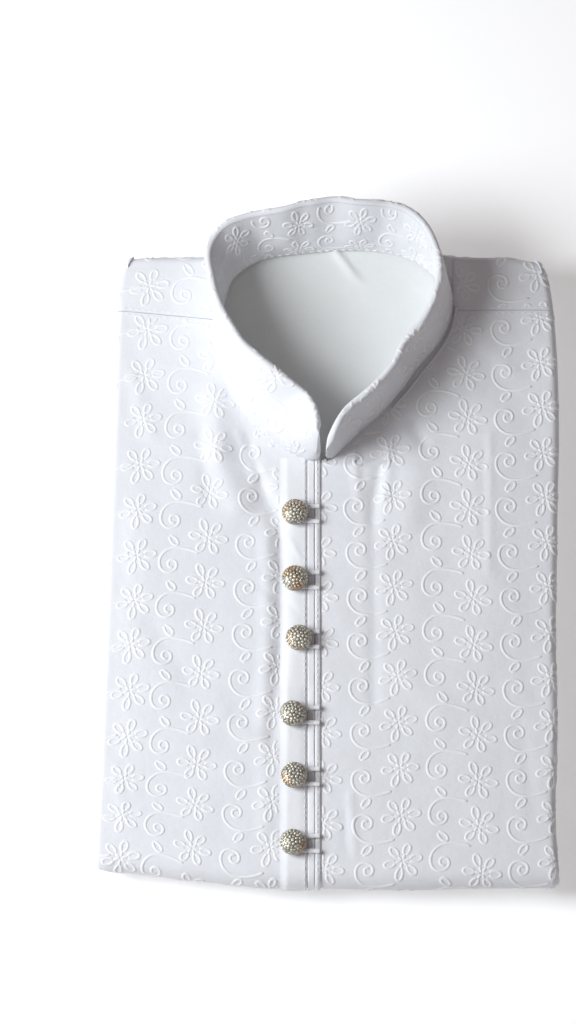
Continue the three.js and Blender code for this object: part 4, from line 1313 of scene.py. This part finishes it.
def collar_columns(size=1.0):
    """The cloth's columns carried on round the band, for motifs of that size against the panels'."""
    order = [("flower", False), ("spiral", True), ("flower", True), ("spiral", False)]
    count = int(NECK_LENGTH / size // COLUMN_SPACING) + 1
    return [(*order[k % 4], 8.0 + k * COLUMN_SPACING, 10.0 + (k % 2) * 7.5, 0.0) for k in range(count)]


def on_band(low, margin, size=1.0):
    """Keeps the embroidery off the foot, the front ends and a margin below the rim."""
    def inside(along, up):
        along, up = along * size, up * size
        u = np.clip(along / NECK_LENGTH, 0, 1)
        return (along > 5) & (along < NECK_LENGTH - 5) & (up > low) & (up < collar_height(u) - margin)
    return inside


def band_ply(name, surface, ups, finish):
    """One ply of the band: its cloth and its grid in the cloth. ups are distances up the band."""
    along = np.linspace(0, NECK_LENGTH, len(ups))[:, None] * np.ones(ups.shape[1])
    outer = surface(along, ups)
    side = 1 if surface is collar_outside else -1
    ply = COLLAR_PLY * band_half(along / NECK_LENGTH) / COLLAR_HALF
    inner = outer + grid_normals(outer) * side * ply[..., None]
    flow = np.stack([along, ups], -1)
    return new_cloth(name, outer, inner, flow, finish), flow


class BuildCollar(bpy.types.Operator):
    """Adds the band collar: the outer ply turned over the rim, and the inner ply"""
    bl_idname = "kameez.collar"
    bl_label = "Band collar"

    def execute(self, context):
        seed = context.scene.kameez_embroidery.seed
        height = collar_height(np.linspace(0, 1, 260))[:, None]
        over_rim = np.linspace(0, math.pi * COLLAR_HALF, 13)[1:]
        tuck = over_rim[-1] + np.linspace(0, ROLL_DEPTH, 3)[1:]
        ups = np.concatenate([height * np.linspace(0, 1, 30), height + over_rim, height + tuck], 1)
        ply, flow = band_ply("collar_outer_ply", collar_outside, ups, cloth("embroidered cotton"))
        lines = lattice(collar_columns(), -10, 60, on_band(4.5, -0.7 * over_rim[-1]), seed + 11)
        motifs = embroider("collar_outer_embroidery", collar_outside, lines, flip=True)
        foot = np.stack([np.linspace(4, NECK_LENGTH - 4, 300), np.full(300, 2.6)], -1)
        stitches = topstitch("collar_outer_stitches", collar_outside, [foot], flip=True)
        declare_cloth(ply, flow, "collar_outer", "embroidered_cotton",
                      [motifs, stitches])

        ups = (height - ROLL_DEPTH - CLOSE) * np.linspace(0, 1, 30)
        ply, flow = band_ply("collar_inner_ply", collar_inside, ups, cloth("embroidered cotton"))
        within = on_band(3.0, ROLL_DEPTH + 1.0, INNER_MOTIFS)
        lines = lattice(collar_columns(INNER_MOTIFS), -10, 80, within, seed + 12)
        lines = [line * INNER_MOTIFS for line in lines]
        motifs = embroider("collar_inner_embroidery", collar_inside, lines)
        foot = stitch_row(foot - (0, 0.4), 3.0, 1.3)
        stitches = sew("collar_inner_stitches", collar_inside, foot, 1.0, 0.55, white_thread(), narrow=0.5)
        declare_cloth(ply, flow, "collar_inner", "embroidered_cotton",
                      [motifs, stitches])
        return {"FINISHED"}


def facing_grid(outwards, drop):
    """The facing, sagging a little inside the neck line, with the one crease that the photo shows."""
    rows, columns = 64, 56
    rim = neck_line(outwards)
    middle = int(np.argmax(rim[:, 0] > BACK_X))
    left, right = rim[:middle], rim[middle:][::-1]
    front = min(left[0, 1], right[0, 1]) - 3.0
    back = min(left[-1, 1], right[-1, 1]) - 0.3
    share = np.linspace(0, 1, rows)[:, None]
    y = front + (back - front) * (1 - (1 - share) ** 1.7)
    g = np.linspace(0, 1, columns)[None, :]
    x = crossing(left, y) + (crossing(right, y) - crossing(left, y)) * g
    y = np.broadcast_to(y, x.shape)
    ends = smoothstep(y, front - 8, front + 26) * (1 - smoothstep(y, back - 45, back))
    sag = 5 * np.sqrt(4 * g * (1 - g) * ends)
    from_crease = (x - 11.5) * 0.79 + (y - 362.5) * 0.62
    crease = 1.7 * np.exp(-((from_crease / 2.0) ** 2)) * smoothstep(y, 345, 358)
    crease = crease * smoothstep(back - y, 0, 3) * smoothstep(y, 346, 362)
    swell = 0.5 * np.sin(x / 21 + 0.7) * np.sin(y / 26) * ends * 4 * g * (1 - g)
    z = TOP + relief(x, y) - COLLAR_SINK - 2 * GAP - sag + crease + swell - drop
    return np.stack([x, y, z], -1)


class BuildFacing(bpy.types.Operator):
    """Adds the smooth facing inside the neck"""
    bl_idname = "kameez.facing"
    bl_label = "Neck facing"

    def execute(self, context):
        outer, inner = facing_grid(1.0, 0.0), facing_grid(1.0, 1.5)
        flow = outer[..., :2]
        facing = new_cloth("smooth_neck_facing", outer, inner, flow, cloth("facing cotton"))
        declare_cloth(facing, flow, "neck_facing", "facing_cloth")
        return {"FINISHED"}


# Bundles below

def bundle_ring(z, inset, near, far, wave):
    """The outline of a bundle at the height z, with softly waved edges."""
    near_corner, far_corner = BUNDLE_CORNERS

    def edge(side, y):
        sway = wave * np.sin(y / 21 + z * 1.9) + 0.8 * wave * np.sin(y / 8.3 + z * 3.1) * np.sin(y / 47)
        return side_edge(side, y) - side * (inset + wave - sway)

    def arc(side, end, start):
        corner = near_corner if end < 0 else far_corner
        cy = near + corner if end < 0 else far - corner
        cx = edge(side, cy) - side * corner
        turn = np.linspace(start, start + math.pi / 2, 9)
        return np.stack([cx + corner * np.cos(turn), cy + corner * np.sin(turn)], -1)

    def cross(y, start, stop):
        x = np.linspace(start, stop, 86)[1:-1]
        sway = wave * (1 - np.sin(x / 17 + z * 2.3))
        sway = sway + 0.7 * wave * np.sin(x / 7.1 + z * 2.7) * np.sin(x / 39)
        return np.stack([x, y + sway if y < 100 else y - sway], -1)

    y = np.linspace(near + near_corner, far - far_corner, 124)[1:-1]
    outline = np.concatenate([
        arc(-1, -1, math.pi),
        cross(near, edge(-1, near) + near_corner, edge(1, near) - near_corner),
        arc(1, -1, 1.5 * math.pi),
        np.stack([edge(1, y), y], -1),
        arc(1, 1, 0.0),
        cross(far, edge(1, far) - far_corner, edge(-1, far) + far_corner),
        arc(-1, 1, 0.5 * math.pi),
        np.stack([edge(-1, y), y], -1)[::-1],
    ])
    return np.concatenate([outline, np.full((len(outline), 1), z)], -1)


def ply_groove(z, ply=0.8, depth=0.55):
    """How far the edge goes in between one ply and the next."""
    return depth * (1 - np.abs(np.sin(math.pi * z / ply)) ** 0.6)


def layered_rows(layers, bottom, near, far, near_share):
    """Rows of a flat bundle from its edge profile: height, inset, near end, far end."""
    heights = np.linspace(layers[0, 0], layers[-1, 0], int(layers[-1, 0] / 0.2) + 1)
    insets = np.interp(heights, layers[:, 0], layers[:, 1]) + ply_groove(heights) * (heights > 0.3)
    return [(bottom + z, inset, near + inset * near_share, far - inset)
            for z, inset in zip(heights, insets)]


def near_filling_rows():
    """Rows of the rolled cloth inside the near fold."""
    radius = NEAR_RADIUS - 1.6 - GAP - 0.2
    shares = np.linspace(-0.96, 0.96, 60)
    return [(NEAR_CENTRE + radius * share, 4.6 + ply_groove(radius * (share + 1), 1.6, 1.1),
             NEAR_RADIUS - radius * math.sqrt(1 - share * share), 30.0) for share in shares]


def lofted(rows, wave):
    """Points, faces and cloth flow of a closed bundle through its rows."""
    rings = [bundle_ring(*row, wave) for row in rows]
    count = len(rings[0])
    points = np.concatenate([*rings, [rings[0].mean(0)], [rings[-1].mean(0)]])
    index = np.arange(len(rings) * count).reshape(-1, count)
    turned = np.roll(index, -1, axis=1)
    low, high = len(points) - 2, len(points) - 1
    floor = np.stack([np.full(count, low), turned[0], index[0]], -1)
    lid = np.stack([np.full(count, high), index[-1], turned[-1]], -1)
    travel = np.concatenate([[0], np.cumsum(np.linalg.norm(np.diff(rings[0], axis=0), axis=1))])
    flow = [np.stack([travel, np.full(count, row[0] * 1.6 + k * 0.1)], -1) for k, row in enumerate(rows)]
    ends = np.concatenate([floor, lid])
    return points, tube_faces(index), ends, np.concatenate([*flow, [(0, -60), (0, 80)]])


def bundle(name, lofts, finish):
    """One mesh of a folded bundle, from its lofts."""
    points, sides, ends, flow = [], [], [], []
    first = 0
    for made in lofts:
        points.append(made[0])
        sides.append(made[1] + first)
        ends.append(made[2] + first)
        flow.append(made[3])
        first += len(made[0])
    blocks = [np.concatenate(sides), np.concatenate(ends)]
    return new_piece(name, np.concatenate(points), blocks, finish, np.concatenate(flow), 60)


def bundle_cut(near, far):
    """The grid of a bundle's cut: its four corners."""
    return np.stack(np.meshgrid((LEFT_EDGE[0, 1], RIGHT_EDGE[0, 1]), (near, far), indexing="ij"), -1)


class BuildBundles(bpy.types.Operator):
    """Adds the folded lower layers of the kameez and the folded shalwar beneath it"""
    bl_idname = "kameez.bundles"
    bl_label = "Folded layers"

    def execute(self, context):
        ends = (NEAR_RADIUS + UNDERTURN + 2 * GAP, BODY_LENGTH - 4)
        flat = layered_rows(LOWER_LAYERS, KAMEEZ_BOTTOM, *ends, 0)
        lofts = [lofted(flat, 0.4), lofted(near_filling_rows(), 0.0)]
        layers = bundle("kameez_lower_layers", lofts, cloth("embroidered cotton"))
        declare_cloth(layers, bundle_cut(*ends), "kameez_folded_layers", "embroidered_cotton")
        ends = (3.5, BODY_LENGTH - 5)
        flat = layered_rows(SHALWAR_LAYERS, 0.0, *ends, 1)
        trousers = bundle("folded_shalwar_bundle", [lofted(flat, 0.5)], cloth("plain cotton"))
        declare_cloth(trousers, bundle_cut(*ends), "shalwar_folded", "plain_cotton")
        return {"FINISHED"}


# Buttons

STONE_RINGS = [
    # stones, angle from the top, size
    (1, 0.0, 1.3),
    (7, 20.0, 1.0),
    (13, 38.0, 1.0),
    (18, 56.0, 1.0),
    (22, 73.0, 0.95),
    (22, 89.0, 0.85),
]


def modelled():
    """The points and faces of the active object, which is then removed."""
    piece = bpy.context.object
    points = np.array([vertex.co for vertex in piece.data.vertices])
    faces = [tuple(polygon.vertices) for polygon in piece.data.polygons]
    bpy.data.objects.remove(piece)
    return points, faces


def cut_stone(width):
    """One cut stone: a table, a ring of crown facets and a girdle."""
    bpy.ops.object.select_all(action="DESELECT")
    bpy.ops.mesh.primitive_cylinder_add(vertices=8, radius=width / 2, depth=width * 0.3)
    bpy.ops.object.mode_set(mode="EDIT")
    bpy.ops.mesh.select_mode(type="FACE")
    bpy.ops.mesh.select_all(action="DESELECT")
    bpy.ops.object.mode_set(mode="OBJECT")
    for polygon in bpy.context.object.data.polygons:
        polygon.select = polygon.normal.z > 0.9
    bpy.ops.object.mode_set(mode="EDIT")
    bpy.ops.mesh.inset(thickness=width * 0.1, depth=width * 0.09)
    bpy.ops.mesh.inset(thickness=width * 0.13, depth=width * 0.05)
    bpy.ops.object.mode_set(mode="OBJECT")
    return modelled()


def button_base():
    """The domed base with its shank."""
    bpy.ops.object.select_all(action="DESELECT")
    radius = BUTTON_RADIUS * 0.93 * MM
    bpy.ops.mesh.primitive_uv_sphere_add(
        segments=40, ring_count=20, radius=radius, location=(0, 0, DOME_MIDDLE * MM))
    bpy.context.object.scale = (1, 1, 0.47)
    bpy.ops.object.transform_apply(location=True, rotation=True, scale=True)
    dome = bpy.context.object
    bpy.ops.mesh.primitive_torus_add(
        major_segments=40, minor_segments=8, major_radius=radius * 0.985, minor_radius=0.0005,
        location=(0, 0, 0.0036))
    rim = bpy.context.object
    bpy.ops.mesh.primitive_cylinder_add(vertices=20, radius=0.0026, depth=0.0022, location=(0, 0, 0.0012))
    shank = bpy.context.object
    select_only(dome, rim, shank)
    bpy.ops.object.join()
    return modelled()


def prong():
    """A bead of metal that holds the stones round it."""
    bpy.ops.object.select_all(action="DESELECT")
    bpy.ops.mesh.primitive_ico_sphere_add(subdivisions=1, radius=0.00036)
    return modelled()


def dome_places():
    """Where stones and prongs sit on the dome: place, outward direction, size, whether it is a stone."""
    places = []
    middle = np.array([0, 0, DOME_MIDDLE])
    for ring, (count, angle, size) in enumerate(STONE_RINGS):
        for k in range(count):
            for stone in (True, False):
                tilt = math.radians(angle if stone else angle + 11.0)
                turn = 2 * math.pi * (k + (0.0 if stone else 0.5)) / count + ring * 0.4
                out = math.sin(tilt)
                ball = np.array([out * math.cos(turn), out * math.sin(turn), math.cos(tilt)])
                radius = BUTTON_RADIUS * 0.9
                spot = middle + ball * (radius, radius, radius * 0.5)
                direction = unit(ball / (1, 1, 0.5))
                places.append((spot * MM, direction, size, stone))
    return places


def turned_to(direction):
    """A turn that takes +Z to the direction, as three rows."""
    side = unit(np.cross((0.31, 0.95, 0.02), direction))
    return np.stack([side, np.cross(direction, side), direction])


class BuildButtons(bpy.types.Operator):
    """Adds the six round buttons covered in small cut stones"""
    bl_idname = "kameez.buttons"
    bl_label = "Buttons"

    def execute(self, context):
        settings = context.scene.kameez_buttons
        metal = shared(metal_finish, "antique silver", tuple(settings.metal))
        stone = shared(stone_finish, "cut stones", tuple(settings.stone))
        parts = {True: cut_stone(settings.stone_width), False: prong()}
        base = button_base()
        random = np.random.default_rng(3)
        for number in range(1, len(BUTTON_PLACES) + 1):
            low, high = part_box(f"button_{number}")
            centre = np.array([(low.x + high.x) / 2, (low.y + high.y) / 2, low.z])
            spin = random.uniform(0, 2 * math.pi)
            cos, sin = math.cos(spin), math.sin(spin)
            turn = np.array([[cos, sin, 0], [-sin, cos, 0], [0, 0, 1]])
            points, faces, stones = [base[0]], list(base[1]), [0] * len(base[1])
            first = len(base[0])
            for spot, direction, size, is_stone in dome_places():
                shape, shape_faces = parts[is_stone]
                wobble = unit(direction + random.normal(0, 0.07, 3))
                points.append(shape * size @ turned_to(wobble) + spot)
                faces += [tuple(first + corner for corner in face) for face in shape_faces]
                stones += [int(is_stone)] * len(shape_faces)
                first += len(shape)
            mesh = bpy.data.meshes.new(f"stone_button_{number}")
            mesh.from_pydata((np.concatenate(points) @ turn + centre).tolist(), [], faces)
            mesh.materials.append(metal)
            mesh.materials.append(stone)
            mesh.polygons.foreach_set("material_index", stones)
            button = bpy.data.objects.new(f"stone_button_{number}", mesh)
            context.scene.collection.objects.link(button)
            select_only(button)
            bpy.ops.object.shade_smooth_by_angle(angle=math.radians(24))
            declare(button, "antique_silver", f"button_{number}")
        return {"FINISHED"}


def loop_line(x, y):
    """The middle of a loop: from under the edge strip round the button's shank and back."""
    def lying_on(at, strip):
        cloth_height = float(relief(np.array([at]), np.array([y]))[0])
        return TOP + cloth_height + GAP + strip[2] + GAP + LOOP_HEIGHT

    low, high = lying_on(x, BUTTON_STAND), lying_on(PLACKET_EDGE[0], PLACKET_EDGE)
    limb = [
        (PLACKET_EDGE[1] - 0.4, LOOP_REACH + 0.3, high),
        (PLACKET_EDGE[0] - 1.2, LOOP_REACH + 0.1, high),
        (x + 3, LOOP_REACH - 0.4, low),
    ]
    bow = [(x + LOOP_REACH * math.cos(turn), LOOP_REACH * math.sin(turn), low)
           for turn in np.linspace(0.5, 1.5, 5) * math.pi]
    path = [(a, y + b, c) for a, b, c in limb + bow]
    return SmoothCurve(path + [(a, y - b, c) for a, b, c in limb[::-1]])


class BuildLoops(bpy.types.Operator):
    """Adds the sewn cloth loops that hold the buttons"""
    bl_idname = "kameez.loops"
    bl_label = "Button loops"

    def execute(self, context):
        count, around = 90, 12
        angle = np.linspace(0, 2 * math.pi, around + 1)[:-1]
        swell = 1 + 0.06 * np.sin(np.arange(count) * 0.9)
        wide, tall = LOOP_WIDTH * np.cos(angle)[:, None], LOOP_HEIGHT * np.sin(angle)[:, None]
        index = np.arange(count * around).reshape(count, around)
        blocks = [tube_faces(index), np.stack([index[0][::-1], index[-1]])]
        for number, (x, y) in enumerate(BUTTON_PLACES, 1):
            line = loop_line(x, y)
            centre = line.at(line.share_at(np.linspace(0, 1, count)))
            along = unit(np.gradient(centre, axis=0))
            side = unit(np.cross((0.0, 0.0, 1.0), along))
            ring = side[:, None] * wide + np.cross(along, side)[:, None] * tall
            points = (centre[:, None] + ring * swell[:, None, None]).reshape(-1, 3)
            travel = np.linspace(0, line.length, count)
            flow = np.stack(np.meshgrid(travel, angle, indexing="ij"), -1).reshape(-1, 2)
            loop = new_piece(f"sewn_loop_{number}", points, blocks, white_thread(), flow, 60)
            declare(loop, "loop_cord", f"button_loop_{number}")
        return {"FINISHED"}


# Stage

class BuildStage(bpy.types.Operator):
    """Adds the floor, the soft studio light and the camera at the photograph's angle"""
    bl_idname = "kameez.stage"
    bl_label = "Stage"

    def execute(self, context):
        settings = context.scene.kameez_studio
        bpy.ops.object.select_all(action="DESELECT")
        bpy.ops.mesh.primitive_plane_add(size=8, location=(0, 0, -0.0003))
        floor = context.object
        floor.name = "floor"
        bpy.ops.object.transform_apply(location=True, rotation=True, scale=True)
        floor.data.materials.append(shared(floor_finish, "pale floor", tuple(settings.floor)))
        for name, strength, size, location in LIGHTS:
            self.add_light(name, getattr(settings, strength), size, location)
        world = context.scene.world or bpy.data.worlds.new("studio")
        context.scene.world = world
        world.use_nodes = True
        surround = world.node_tree.nodes["Background"].inputs
        surround["Color"].default_value = SURROUND_COLOUR
        surround["Strength"].default_value = SURROUND_STRENGTH
        context.scene.view_settings.view_transform = "Standard"
        self.add_camera(context)
        return {"FINISHED"}

    def add_light(self, name, power, size, location):
        bpy.ops.object.light_add(type="AREA", location=location)
        light = bpy.context.object
        light.name = name
        light.data.energy = power
        light.data.size = size
        light.data.color = LIGHT_COLOUR
        to_the_middle = -light.location
        light.rotation_euler = to_the_middle.to_track_quat("-Z", "Y").to_euler()

    def add_camera(self, context):
        back = np.array([0, -math.cos(CAMERA_ELEVATION), math.sin(CAMERA_ELEVATION)])
        location = (CAMERA_TARGET + back * CAMERA_DISTANCE).tolist()
        bpy.ops.object.camera_add(location=location, rotation=(math.pi / 2 - CAMERA_ELEVATION, 0, 0))
        camera = context.object
        camera.data.sensor_width = SENSOR
        camera.data.lens = SENSOR * CAMERA_DISTANCE / FRAME_HEIGHT
        camera.data.clip_start = 0.05
        context.scene.camera = camera


class KameezPanel(bpy.types.Panel):
    """Lists the pieces of the folded kameez"""
    bl_label = "Folded kameez"
    bl_idname = "VIEW3D_PT_folded_kameez"
    bl_space_type = "VIEW_3D"
    bl_region_type = "UI"
    bl_category = "Kameez"

    def draw(self, context):
        for operator in OPERATORS:
            self.layout.operator(operator.bl_idname)
        for name, group in SETTINGS.items():
            box = self.layout.box()
            for setting in group.__annotations__:
                box.prop(getattr(context.scene, name), setting)


OPERATORS = (
    BuildPlacket, BuildFront, BuildYoke, BuildCollar, BuildFacing, BuildBundles, BuildButtons, BuildLoops,
    BuildStage,
)


def register():
    for group in SETTINGS.values():
        bpy.utils.register_class(group)
    for name, group in SETTINGS.items():
        setattr(bpy.types.Scene, name, PointerProperty(type=group))
    for operator in OPERATORS:
        bpy.utils.register_class(operator)
    bpy.utils.register_class(KameezPanel)


def unregister():
    bpy.utils.unregister_class(KameezPanel)
    for operator in reversed(OPERATORS):
        bpy.utils.unregister_class(operator)
    for name in SETTINGS:
        delattr(bpy.types.Scene, name)
    for group in reversed(SETTINGS.values()):
        bpy.utils.unregister_class(group)


def main():
    register()
    bpy.ops.kameez.placket()
    bpy.ops.kameez.fronts()
    bpy.ops.kameez.yoke()
    bpy.ops.kameez.collar()
    bpy.ops.kameez.facing()
    bpy.ops.kameez.bundles()
    bpy.ops.kameez.buttons()
    bpy.ops.kameez.loops()
    bpy.ops.kameez.stage()


if __name__ == "__main__":
    main()
